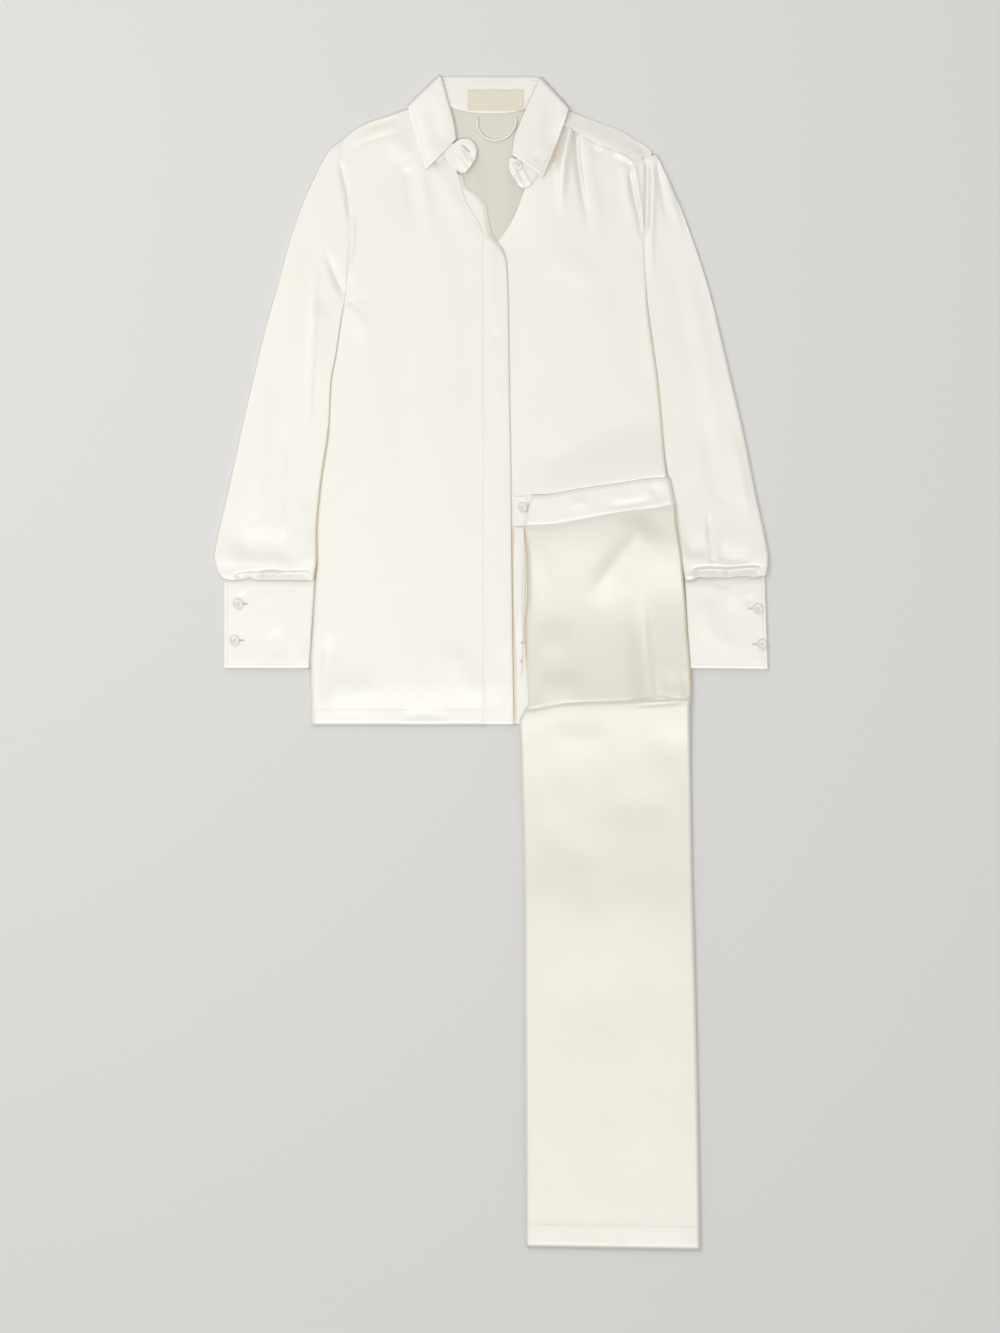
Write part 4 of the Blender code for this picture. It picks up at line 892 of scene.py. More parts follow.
def under_yoke(x, y):
    """The front's top edge dips to pass under the yoke's edge."""
    return 0.42 * ease(1 - (SHOULDERS("seam", x) - y) / 3.0)


def side_drop(y):
    """How far a front's side comes down: a little beside the sleeve, and to the back below it."""
    return mix(1.3, FRONT - 1.25, ease(-y / 16))


def hem_fall(x, y):
    """The fronts sink to the table near the hem, less beside the placket."""
    near_placket = ease((x - PLACKET_SEAM_X + 70) / 70)
    return mix(1.1, 0.7, near_placket) * ease((-22 - y) / 52)


def below_arm(y):
    return ease((UNDERARM_Y + 10 - y) / 30)


def hem_shape(y):
    """A turned hem: a little proud of the panel, and rounded at its lower edge."""
    return HEM_STEP * ease((HEM_Y + SHIRT_HEM - y) / 2.4) - rolled_edge(y - HEM_Y, 0.7, 2.0)


def side_painted_shade(distance, y, top):
    """Painted warm shade in the narrow gap between a side and the sleeve beside it."""
    return 0.45 * ease(1.1 - distance / 2.4) * ease((top - y) / 40) * ease((y + 40) / 30)


def crease_painted_shade(x, y, creases):
    """Painted warm shade deep in a crease, standing in for the shade and the satin's bounce light there."""
    return 0.7 * ease((-folded(x, y, creases) - 1.9) / 2.4)


def front_left():
    def place(u, row):
        y = front_y(row, mix(YOKE_END["left"], -FRONT_TOP_X, u))
        left, right = side_x("left", y), LEFT_FRONT_EDGE("x", y) - SEAM / 2
        x = mix(left, right, u)
        turned = rolled_edge(x - left, side_drop(y), 2.8) * below_arm(y)
        over_placket = 0.3 * ease((y - 495) / 25) * ease((x - right + 45) / 30)
        inner = ease((x - left - 2) / 10) * ease((right - x) / 8)
        lift = folded(x, y, FRONT_LEFT_FOLDS) + slack(x, y, seed=11) * inner
        level = FRONT - turned + over_placket + lift + hem_shape(y) - under_yoke(x, y) - hem_fall(x, y)
        # Painted warm shade beside the sleeve and deep in the creases.
        painted_shade = np.maximum(side_painted_shade(x - left, y, UNDERARM_Y), crease_painted_shade(x, y, FRONT_LEFT_FOLDS))
        return x, y, np.maximum(level, LOWEST_FRONT), painted_shade

    points = grid_of(shares(208, FRONT_CELL), front_rows(), place)
    piece = cloth("panel_front_left", points, inside=True)
    declare(piece, "shirt_front_left")
    return points[..., :3]


def front_right():
    def place(u, row):
        y = front_y(row, mix(FRONT_TOP_X, ARMHOLE_TOP, u))
        left, right = RIGHT_FRONT_EDGE("x", y), side_x("right", y)
        x = mix(left, right, u)
        above_band = y - np.where(x > 28, WAIST("top", x), 200.0)
        free = ease((above_band + 7.0) / 6.5)
        rise = mix(1.9, 3.1, ease((x - 40) / 140)) * ease((x - 10) / 40)
        rise = rise * ease(1 - above_band / mix(46, 72, ease((x - 60) / 100)))
        inner = ease((right - x - 2) / 10) * ease((x - left) / 12)
        risen = FRONT + rise + folded(x, y, FRONT_RIGHT_FOLDS) + slack(x, y, seed=21) * inner
        level = mix(PRESSED, risen, free) - under_yoke(x, y)
        under_placket = ease((78 - x) / 52) * ease((600 - y) / 110)
        level = np.minimum(level, mix(7.7, 12.0, ease(above_band / 14)))
        level = mix(level, UNDERLAP, under_placket)
        turned = rolled_edge(right - x, side_drop(y), 2.8) * below_arm(y)
        # Painted warm shade beside the sleeve, deep in the creases and along the placket's edge below the
        # waistband.
        painted_shade = np.maximum(side_painted_shade(right - x, y, RIGHT_PAINTED_SHADE_TOP), crease_painted_shade(x, y, FRONT_RIGHT_FOLDS))
        shade_beside_placket = ease(1.2 - np.abs(x - PLACKET("outer", y) - 0.5) / 3.4)
        painted_shade = np.maximum(painted_shade, 0.6 * (shade_beside_placket * ease((168 - y) / 12)))
        return x, y, np.maximum(level - turned + hem_shape(y), LOWEST_FRONT), painted_shade

    points = grid_of(shares(226, FRONT_CELL), front_rows(), place)
    piece = cloth("panel_front_right", points, inside=True)
    declare(piece, "shirt_front_right")
    return points[..., :3]


def placket():
    """Folded double at the front edge: outer layer, fold and inner layer."""
    low, bend, high = -73.5, 440, 586
    rows = np.concatenate([spaced(low, bend, WIDE_CELL)[:-1], np.linspace(bend + 3, high, 64)])
    outer, turn, inner = 13, 8, 13

    def place(step, y):
        lift = PLACKET("lift", y)
        high = mix(PLACKET_OUTER, OPEN_OUTER, lift)
        low = mix(PLACKET_INNER, OPEN_INNER, lift)
        radius = (high - low) / 2
        seam, edge_out, edge_in = (PLACKET(column, y) for column in ("seam", "outer", "inner"))
        edge_out, edge_in = edge_out - radius - HALF_WALL, edge_in - radius - HALF_WALL
        angle = np.clip((step - outer) / turn, 0, 1) * math.pi
        x_out = mix(seam - 1.6, edge_out, np.clip(step / outer, 0, 1))
        x_fold = mix(edge_out, edge_in, (1 - np.cos(angle)) / 2) + radius * np.sin(angle)
        x_in = mix(edge_in, seam + 1.0, np.clip((step - outer - turn) / inner, 0, 1))
        x = np.where(step <= outer, x_out, np.where(step <= outer + turn, x_fold, x_in))
        on_top = ease((outer - step) / 2.5)
        bulge = folded(x, y, PLACKET_FOLDS) + 0.12 * uneven(x, y, 22, 60, seed=41)
        bulge = bulge - 0.26 * ease(1 - (x - seam) / 6.0)
        ends = hem_shape(y) * (0.4 + 0.6 * on_top) - 1.1 * ease((-22 - y) / 52)
        # Painted warm shade along the placket's folded edge.
        painted_shade = ease(1.4 - np.abs(step - outer - turn / 2) / 4) * mix(0.25, 0.6, ease((176 - y) / 20))
        level = mix(low, high, (1 + np.cos(angle)) / 2) + bulge * on_top * (1 - lift * 0.7) + ends
        return x, y, level, painted_shade * (1 - lift)

    points = grid_of(np.arange(outer + turn + inner + 1), rows, place)
    piece = cloth("panel_placket", points)
    declare(piece, "shirt_placket")


# ---------------- collar


def collar_line(column, station):
    """A column of both collar tables: station 0 is the left end, 11 the back's middle, 22 the right end."""
    left = LEFT_COLLAR(column, np.minimum(station, 11.0))
    right = RIGHT_COLLAR(column, np.minimum(22.0 - station, 11.0))
    return np.where(station <= 11, left, right)


def collar_places(station):
    """The collar's fold line, the leaf's free edge and the neck seam, each as x and y."""
    return [
        np.stack([collar_line(part + "_x", station), collar_line(part + "_y", station)])
        for part in ("roll", "free", "seam")
    ]


def collar_levels(station):
    """Heights of the stand and of the leaf, and how much a station is on the front of the neck."""
    front = (1 + np.cos(math.pi * collar_line("turn", station))) / 2
    return mix(STAND_BACK, STAND_FRONT, front), mix(ON_TABLE, LEAF_TOP, front), front


def shoulder_bulge(high, low, station):
    """How far a collar layer stands out, in x and y, where it turns over the shoulder."""
    out = (high - low) / 2 * np.sin(math.pi * collar_line("turn", station))
    return FOLD_OUT[0] * out * np.sign(station - 11), FOLD_OUT[1] * out


def collar_stations():
    """Stations about 3 mm apart on the fronts and back, and 4 to each step of the shoulder turn."""
    found = [0.0]
    for whole in range(22):
        count = 4 if 4 <= whole < 8 or 14 <= whole < 18 else 9
        found += list(whole + np.arange(1, count + 1) / count)
    return np.array(found)


def through(values, at):
    """A smooth curve through evenly numbered values."""
    at = np.clip(at, 0, len(values) - 1)
    i = np.clip(np.floor(at).astype(int), 0, len(values) - 2)
    t = at - i
    before, after = values[np.maximum(i - 1, 0)], values[np.minimum(i + 2, len(values) - 1)]
    here, there = values[i], values[i + 1]
    a, b = (there - before) / 2, (after - here) / 2
    return here + a * t + (3 * (there - here) - 2 * a - b) * t**2 + (2 * (here - there) + a + b) * t**3


def stand():
    whole = np.arange(23.0)
    roll, free, seam = collar_places(whole)
    level, _, front = collar_levels(whole)
    inset = mix(5.6, 5.5 + STRIP_GAP, front)
    out = np.stack(shoulder_bulge(STAND_FRONT, STAND_BACK, whole))
    top = roll + (free - roll) / np.hypot(*(free - roll)) * inset + out
    seam = seam + out
    left, right = np.array(LEFT_TAB).T, np.array(RIGHT_TAB)[::-1].T
    top = np.concatenate([left[:2], top, right[:2]], axis=1)
    seam = np.concatenate([left[2:], seam, right[2:]], axis=1)
    level = np.concatenate([np.full(4, STAND_FRONT), level, np.full(4, STAND_FRONT)])

    def place(up, station):
        x_top, y_top = (through(values, station) for values in top)
        x_seam, y_seam = (through(values, station) for values in seam)
        x, y = mix(x_seam, x_top, up), mix(y_seam, y_top, up)
        z = through(level, station)
        loose = ease((5.2 - station) / 1.5) + ease((station - 24.8) / 1.5)
        return x, y, z + folded(x, y, TAB_FOLDS) * loose - 0.2 * ease(1 - up / 0.08)

    left_end, right_end = np.linspace(0, 4, 29)[:-1], np.linspace(26, 30, 29)[1:]
    stations = np.concatenate([left_end, collar_stations() + 4, right_end])
    points = grid_of(shares(30, 2.4, 0.5), stations, place)
    piece = cloth("collar_band", points, wall=STAND_WALL)
    declare(piece, "collar_stand")
    return points


# Steps across the leaf: where its flat start on the stand ends, where its turn over the fold line ends,
# and how many more there are to its free edge.
LEAF_START_STEPS, LEAF_ROLL_STEPS, LEAF_FLAT_STEPS = 4, 14, 22


def leaf():
    def place(step, station):
        (roll_x, roll_y), (free_x, free_y), _ = collar_places(station)
        width = np.hypot(free_x - roll_x, free_y - roll_y)
        stand_level, leaf_level, front = collar_levels(station)
        edge_level = mix(ON_TABLE, LEAF_EDGE, front)
        near = mix(3.0, 2.2, front)
        flat = np.clip(step / LEAF_START_STEPS, 0, 1)
        angle = np.clip((step - LEAF_START_STEPS) / (LEAF_ROLL_STEPS - LEAF_START_STEPS), 0, 1) * math.pi
        share = np.clip((step - LEAF_ROLL_STEPS) / LEAF_FLAT_STEPS, 0, 1)
        inset = mix(mix(5.5, near, flat), 0, np.sin(np.minimum(angle, math.pi / 2)))
        inset = np.where(angle > math.pi / 2, near * (1 - np.sin(angle)), inset)
        inset = np.where(share > 0, mix(near, width, share), inset)
        over = (1 - np.cos(angle)) / 2
        level = mix(mix(stand_level, leaf_level, over), edge_level, share**2.2)
        high = mix(mix(STAND_FRONT, LEAF_TOP, over), LEAF_EDGE, share**2.2)
        low = mix(STAND_BACK, ON_TABLE, over)
        out_x, out_y = shoulder_bulge(high, low, station)
        x = roll_x + (free_x - roll_x) * inset / width + out_x
        y = roll_y + (free_y - roll_y) * inset / width + out_y
        ends = np.minimum(station, 22 - station)
        edge = np.minimum((1 - share) * width, ends * 17)
        puff = 0.06 * ease(edge / 7) * ease(share * 8)
        on_right = station > 11
        curl = mix(1.6, 2.2, on_right) * ease(1 - ends / mix(1.8, 3.4, on_right)) * ease(share * 1.4)
        beside = 3.4 * ease((station - 13) / 3) * ease((20.5 - station) / 2)
        beside = beside * ease((share - 0.55) / 0.45)
        creased = folded(x, y, LEAF_FOLDS) * ease(edge / 10) * ease(share * 6)
        lift = (creased + puff + curl + beside) * front
        return x, y, level + lift - 0.08 * ease(1 - edge / 1.5) * (share > 0)

    flat_part = LEAF_ROLL_STEPS + np.append(np.linspace(0.7, LEAF_FLAT_STEPS - 0.4, 20), LEAF_FLAT_STEPS)
    points = grid_of(np.append(np.arange(LEAF_ROLL_STEPS + 1), flat_part), collar_stations(), place)
    piece = cloth("collar_fall", points, wall=LEAF_WALL, turned=True)
    declare(piece, "collar_leaf")
    return points


def label():
    def place(x, y):
        return x, y, LABEL_LEVEL + 0.12 * uneven(x, y, 14, 30, seed=71)

    points = grid_of(spaced(*LABEL_X, 1.6, 0.4), spaced(*LABEL_Y, 1.6, 0.4), place)
    piece = cloth("neck_label_cloth", points, wall=LABEL_WALL, face=LABEL_CLOTH)
    declare(piece, "neck_label")
    return points


LOOP_RINGS, LOOP_ROUND, LOOP_RADIUS = 73, 12, 1.2


def hanger_loop():
    """A turned tube of satin, sewn down at both ends under the collar."""
    table = Table("point x y", *((k, x, y) for k, (x, y) in enumerate(LOOP)))
    at = np.linspace(0, len(LOOP) - 1, LOOP_RINGS)
    x, y = table("x", at), table("y", at)
    path = np.stack([x, y, neck_level(x, y) + HALF_WALL + SEAM + LOOP_RADIUS], axis=1)
    ahead = np.gradient(path, axis=0)
    ahead /= np.linalg.norm(ahead, axis=1, keepdims=True)
    aside = np.cross(ahead, (0, 0, 1))
    up = np.cross(aside, ahead)
    around = (np.arange(LOOP_ROUND) / LOOP_ROUND * 2 * math.pi)[None, :, None]
    radius = (LOOP_RADIUS + 0.1 * np.sin(at * 5.0)[:, None])[:, :, None]
    rings = np.cos(around) * aside[:, None] * 1.15 + np.sin(around) * up[:, None]
    points = path[:, None] + rings * radius
    from_end = np.minimum(np.arange(LOOP_RINGS), np.arange(LOOP_RINGS)[::-1])
    squeezed = (0.55 + 0.45 * ease(from_end / 5))[:, None, None]
    points = path[:, None] + (points - path[:, None]) * squeezed
    piece = cloth("neck_hanger_loop", points, wall=LOOP_WALL, closed=True, turned=True)
    declare(piece, "hanger_loop")


# ---------------- sleeves and cuffs


# Steps round a sleeve's flat faces and its turns, and the levels of its two layers at its head.
TUBE_FLAT, TUBE_TURN = 38, 7
HEAD_LOW, HEAD_HIGH = 1.25, 4.38


def tube_section(length, height, step):
    """Points round a flattened tube's middle wall: along its width, and above its middle."""
    reach = height / 2 - HALF_WALL
    turn = np.minimum(reach, HALF_WALL)
    top = np.clip(step / TUBE_FLAT, 0, 1)
    near_turn = np.clip((step - TUBE_FLAT) / TUBE_TURN, 0, 1) * math.pi
    bottom = np.clip((step - TUBE_FLAT - TUBE_TURN) / TUBE_FLAT, 0, 1)
    far_turn = np.clip((step - 2 * TUBE_FLAT - TUBE_TURN) / TUBE_TURN, 0, 1) * math.pi
    along = mix(turn, length - turn, top - bottom) + turn * (np.sin(near_turn) - np.sin(far_turn))
    return along, reach * np.cos(near_turn + far_turn)


def sleeve_rows(table):
    """Rows of a sleeve: close together at the head, then about 3 mm apart, and 1.6 mm near the cuff."""
    rows = [0.0, 0.04, 0.08, 0.12, 0.2, 0.3, 0.45, 0.6, 0.8, 1.0]
    for whole in range(1, 14):
        columns = ("outer_x", "outer_y", "inner_y")
        step_x, step_y, step_in = (table(column, whole + 1.0) - table(column, whole) for column in columns)
        longest = max(math.hypot(step_x, step_y), abs(step_in))
        count = max(4, int(round(longest / (3.0 if whole < 9 else 1.6))))
        rows += list(whole + np.arange(1, count + 1) / count)
    return np.array(rows)


def sleeve(side, table, creases, seed):
    way = -1 if side == "left" else 1

    def place(step, row):
        outer = np.stack([table("outer_x", row), table("outer_y", row)])
        inner_y = table("inner_y", row)
        inner = np.stack([side_x(side, inner_y) + table("clear", row) * way, inner_y])
        length = np.hypot(*(inner - outer))
        open_up = ease((row - 0.05) / 0.6)
        low = mix(HEAD_LOW, ON_TABLE, open_up)
        high = mix(HEAD_HIGH, table("height", row) - HALF_WALL, open_up)
        height = high - low + SOLID_WALL
        along, above = tube_section(length, height, step)
        share = along / length
        x, y = outer + (inner - outer) * share
        x = x + table("bow", row) * 4 * share * (1 - share)
        x = x - 2.0 * way * ease(1 - row / 0.12) * ease((1 - share) * 12)
        y = y - 1.5 * ease((row - 12.4) / 1.6) * uneven(x, 0.0, 11, 9, seed=seed + 5)
        upward = above / (height / 2 - HALF_WALL)
        crown = ease(upward * 1.5) * ease(share * 9) * ease((1 - share) * 9)
        lift = folded(x, y, creases) + slack(x, y, seed) * ease(row / 0.6) * ease((13.4 - row) / 2)
        narrow = ease(upward) * folded(x, y, creases) * (1 - crown) * 0.6
        level = np.maximum((low + high) / 2 + above + lift * crown + narrow, 0.35)
        # Painted warm shade along the edge beside the body and deep in the creases.
        shade_beside_body = 0.3 * ease((share - 0.975) / 0.02) * ease((row - 1) / 2)
        return x, y, level, np.maximum(crease_painted_shade(x, y, creases) * 0.8, shade_beside_body)

    points = grid_of(np.arange(2 * (TUBE_FLAT + TUBE_TURN)), sleeve_rows(table), place)
    piece = cloth("tube_sleeve_" + side, points, closed=True, turned=side == "left", inside=True)
    declare(piece, "sleeve_" + side)


CUFF_HEIGHT = 107
CUFF_LAP_STEPS, CUFF_TURN_STEPS = 8, 9


def cuff(side, table, creases):
    """One band: from under the overlap, round the outer edge, along the back and over to the outer edge."""
    bottom, lap, top = CUFF_WALL / 2, 1.5 * CUFF_WALL + SEAM, 2.5 * CUFF_WALL + 2 * SEAM
    small, large = (lap - bottom) / 2, (top - bottom) / 2
    turn = np.linspace(0, math.pi, CUFF_TURN_STEPS)
    levels = [np.full(CUFF_LAP_STEPS, lap), mix(bottom, lap, (1 + np.cos(turn)) / 2)]
    lap_run = np.linspace(CUFF_LAP, CUFF_WALL / 2 + small + 1, CUFF_LAP_STEPS)
    first_turn = CUFF_WALL / 2 + small * (1 - np.sin(turn))
    top_run = np.append(np.linspace(0.02, 0.975, 34), (0.995, 1.0))
    runs = [lap_run, first_turn, np.linspace(0.06, 0.94, 12), turn, top_run]
    edges = np.cumsum([0] + [len(run) for run in runs])

    def place(step, end):
        outer = np.stack([table("outer_x", end), table("outer_y", end)])
        inner = np.stack([table("inner_x", end), table("inner_y", end)])
        length = np.hypot(*(inner - outer))
        reach = CUFF_WALL / 2 + large
        kind = np.searchsorted(edges, step, side="right") - 1
        k = step - edges[kind]
        along, z = np.zeros(step.shape), np.zeros(step.shape)
        for which, run in enumerate(runs):
            here = kind == which
            value = run[np.clip(k, 0, len(run) - 1)]
            if which < 2:
                at, level = value, levels[which][np.clip(k, 0, len(levels[which]) - 1)]
            elif which == 2:
                at, level = mix(CUFF_WALL / 2 + small, length - reach, value), bottom
            elif which == 3:
                at = length - CUFF_WALL / 2 - large * (1 - np.sin(value))
                level = mix(bottom, top, (1 - np.cos(value)) / 2)
            else:
                at, level = mix(length - reach, 0.4, value), top
            along, z = np.where(here, at, along), np.where(here, level, z)
        x, y = outer + (inner - outer) * along / length
        on_top = (kind == 4) * ease((along - 0.4) / 6 + 0.3)
        rim = np.minimum(end, 1 - end) * CUFF_HEIGHT
        puff = 0.14 * ease(rim / 7) - 0.1 * ease(1 - rim / 1.2)
        lift = folded(x, y, creases) + 0.14 * uneven(x, y, 26, 26, seed=55) * ease(rim / 10) + puff
        return x, y, z + (lift - 1.1 * ease(1 - (1 - end) * CUFF_HEIGHT / 7)) * on_top

    points = grid_of(np.arange(edges[-1]), shares(CUFF_HEIGHT, WIDE_CELL, 0.6), place)
    piece = cloth("band_cuff_" + side, points, wall=CUFF_CLOTH, turned=side == "left")
    declare(piece, "cuff_" + side)
    return points[:, edges[-2] :]


# ---------------- trousers


# The leg from side to side, in x, at the waist seam and at the tuck, and the waistband's top.
LEG_HEAD, LEG_TUCK, BAND_HEAD = (40.4, 219.0), (40.4, 238.0), (49.0, 214.0)


def leg_height(x, y):
    """The height of the leg's top face, with waves that follow the fold across the leg."""
    above = y - TUCK("y", x)
    above = above + 14 * uneven(x, y, 64, 100, seed=83) * ease((-25 - above) / 50)
    above = above + 8 * uneven(x, y, 60, 60, seed=84) * ease((above - 15) / 30)
    spread = ease((np.abs(above) - 4) / 26)
    return np.mean([LEG_TOP("z", above + step * spread) for step in (-16, -8, 0, 8, 16)], axis=0)


def leg_y(row, u, head, foot):
    """The place of a row of the trousers: 0 at the waist seam, 1 at the tuck and 2 at the hem."""
    tuck = TUCK("y", mix(*LEG_TUCK, u))
    return np.where(row <= 1, mix(head, tuck, row), mix(tuck, foot, row - 1))


def leg_rows():
    """Rows of the trousers, close together at the waist seam, the tuck and the hem."""
    upper = np.concatenate([[0, 0.003], np.linspace(0.015, 0.93, 72), np.linspace(0.94, 1.0, 18)])
    below_tuck = np.concatenate([1 + np.linspace(0.0015, 0.04, 22), np.linspace(1.045, 1.2, 30)])
    return np.concatenate([upper, below_tuck, np.linspace(1.207, 1.996, 112), [1.999, 2.0]])


def trouser_leg():
    def place(u, row):
        foot = mix(LEG_HEM["left"], LEG_HEM["right"], u)
        y = leg_y(row, u, WAIST("seam", mix(*LEG_HEAD, u)) + 1.6, foot)
        beside_cuff = 3.2 + 1.7 * ease((y - 20) / 60) * ease((176 - y) / 45)
        beside_cuff = beside_cuff * ease((y + 60) / 30)
        left, right = TROUSER_SIDES("left", y), TROUSER_SIDES("right", y) + beside_cuff
        x = mix(left, right, u)
        edge = np.minimum(x - left, right - x)
        creased = folded(x, y, LEG_FOLDS) * ease(edge / 9 + 0.15)
        lift = creased + slack(x, y, seed=81, amount=0.8) * ease(edge / 14)
        below_seam = WAIST("seam", x) - y
        lift = lift * ease(below_seam / 12)
        hem = HEM_STEP * ease((foot + LEG_HEM_DEPTH - y) / 2.2) - rolled_edge(y - foot, 1.4, 3.0)
        under_band = 0.3 * ease(1 - below_seam / 3.5)
        level = leg_height(x, y) - HALF_WALL + lift + hem - under_band
        at_fly = 1.5 * ease(1 - (x - left) / 4.5) * ease((y + 10) / 30) * ease((158 - y) / 12)
        # Painted warm shade in the gaps beside the fly strip and beside the sleeve.
        shade_beside_fly = 0.65 * ease(1.1 - (x - left) / 3.6) * ease((y + 10) / 20)
        shade_beside_sleeve = 0.6 * ease(1.1 - (right - x) / 2.4) * ease((y + 48) / 8)
        return x, y, level - rolled_edge(edge, 0.4, 1.0) - at_fly, np.maximum(shade_beside_fly, shade_beside_sleeve)

    points = grid_of(shares(205, WIDE_CELL), leg_rows(), place)
    piece = cloth("leg_front", points, turned=True, inside=True, face=LEG_SATIN_PAINTED_DARKER)
    declare(piece, "trousers_leg")
    return points[..., :3]


def layers_below():
    """All that the visible leg covers, as one solid with its layers showing at the edges."""
    down = np.linspace(0, 1, 19)
    inset = LAYER_EDGE("inset", down)
    tops, bottoms = np.linspace(0.01, 0.99, 40), np.linspace(0.96, 0.04, 18)
    ring_u = np.concatenate([tops, np.ones_like(down), bottoms, np.zeros_like(down)])
    ring_up = np.concatenate([np.ones_like(tops), 1 - down, np.zeros_like(bottoms), 1 - down[::-1]])
    ring_in = np.concatenate([np.zeros_like(tops), inset, np.zeros_like(bottoms), inset[::-1]])
    rows = np.concatenate([[-1, -0.75, -0.5, -0.25], leg_rows()[::3], [1.999, 2.0]])

    def place(step, row):
        u, up, inset = ring_u[step], ring_up[step], ring_in[step]
        head = WAIST("seam", mix(*LEG_HEAD, u))
        band = WAIST("top", mix(*BAND_HEAD, u)) - 1.6
        foot = mix(LEG_HEM["left"], LEG_HEM["right"], u) + 1.0
        y = np.where(row < 0, mix(head, band, -row), leg_y(np.maximum(row, 0), u, head, foot))
        fly_room = 4.4 * ease((y + 40) / 30)
        left, right = TROUSER_SIDES("left", y) + 1.6 + fly_room, TROUSER_SIDES("right", y) - 1.6
        x = mix(left + inset, right - inset, u)
        rest = TROUSER_REST("z", y)
        near = [leg_height(x, y + shift) + folded(x, y + shift, LEG_FOLDS) for shift in (-6, 0, 6)]
        cover = np.min(near, axis=0)
        near_tuck = 4.5 * ease(1 - np.abs(y - TUCK("y", x)) / 60)
        top = np.minimum(cover - 1.9, rest + 4.0 + near_tuck) - np.where(row < 0, 1.2, 0)
        top = np.maximum(top - 2.4 * ease(1 - np.minimum(x - left, right - x) / 7), rest + 0.4)
        return x, y, mix(rest, top, up)

    points = grid_of(np.arange(len(ring_u)), np.unique(rows), place)
    faces, uvs = cells(points, ((0, 0), (1, 0), (1, 1), (0, 1)), closed=True)
    count, ring = points.shape[:2]
    for j, order in ((0, 1), (count - 1, -1)):
        faces.append([j * ring + i for i in range(ring)][::order])
        uvs += [(points[j, i, 0], points[j, i, 2]) for i in range(ring)][::order]
    piece = new_mesh("leg_layers_below", points.reshape(-1, 3), faces, uvs, (LEG_SATIN_PAINTED_DARKER,))
    declare(piece, "trousers_hidden_layers")


def waistband():
    def place(u, v):
        right_end = mix(221.2, 214.2, v)
        x = mix(mix(40.0, 49.0, v), right_end, u)
        y = mix(WAIST("seam", x) + 0.3, WAIST("top", x), v)
        turned = rolled_edge(right_end - x, 2.0, 5.0) + rolled_edge(WAIST("top", x) - y, 1.7, 3.4)
        inner = ease((right_end - x) / 8) * ease(v * 6) * ease((1 - v) * 6)
        lift = (folded(x, y, WAISTBAND_FOLDS) + 0.14 * uneven(x, y, 24, 30, seed=91)) * inner
        end = 0.4 * ease(1 - u * 170 / 2) + 0.4 * ease(1 - v / 0.05)
        return x, y, WAISTBAND_LEVEL - turned + lift - end

    points = grid_of(shares(172, 2.6, 0.6), shares(37, BAND_CELL, 0.6), place)
    piece = cloth("band_waist", points, wall=FIRM)
    declare(piece, "trousers_waistband")
    return points


def waist_underlap():
    def place(u, v):
        x = mix(28.8, 43.6, u)
        y = mix(WAIST("seam", x) + 0.6, WAIST("top", x) - 0.6, v)
        return x, y, WAIST_UNDERLAP_LEVEL + 0.06 * uneven(x, v * 37, 9, 9, seed=95)

    points = grid_of(shares(15, SMALL_CELL, 0.5), shares(36, BAND_CELL, 0.5), place)
    piece = cloth("band_waist_underlap", points, wall=FIRM)
    declare(piece, "trousers_waist_underlap")


def fly_strip():
    creases = (fold((36, 150), (35, 90), (34, 20), width=3.5, height=0.9),)

    def place(u, y):
        x = mix(FLY_STRIP("left", y), FLY_STRIP("right", y), u)
        return x, y, FLY_LEVEL + folded(x, y, creases) + 0.15 * uneven(x, y, 10, 34, seed=97)

    points = grid_of(shares(15, SMALL_CELL, 0.5), spaced(-14, 162.6, 3.0), place)
    piece = cloth("fly_underlap", points, inside=True)
    declare(piece, "trousers_fly_underlap")


# ---------------- buttons and sewing


def edit_top_faces(piece, level):
    """Opens the mesh in edit mode, with the faces selected that look up at a level."""
    for face in piece.data.polygons:
        face.select = face.normal.z > 0.9 and abs(face.center.z - level) < 0.05 * MM
    bpy.ops.object.mode_set(mode="EDIT")
    bpy.ops.mesh.select_mode(type="FACE")


# Steps of a button's face from its rim inwards: their width as a share of the radius, and how far they sink.
BUTTON_STEPS = ((0.16, 0), (0.12, 0.28), (0.14, 0.1))
BUTTON_THICKNESS = 2.2
HOLE_PLACE, HOLE_RADIUS = 0.17, 0.07
BAR_RADIUS = 0.28


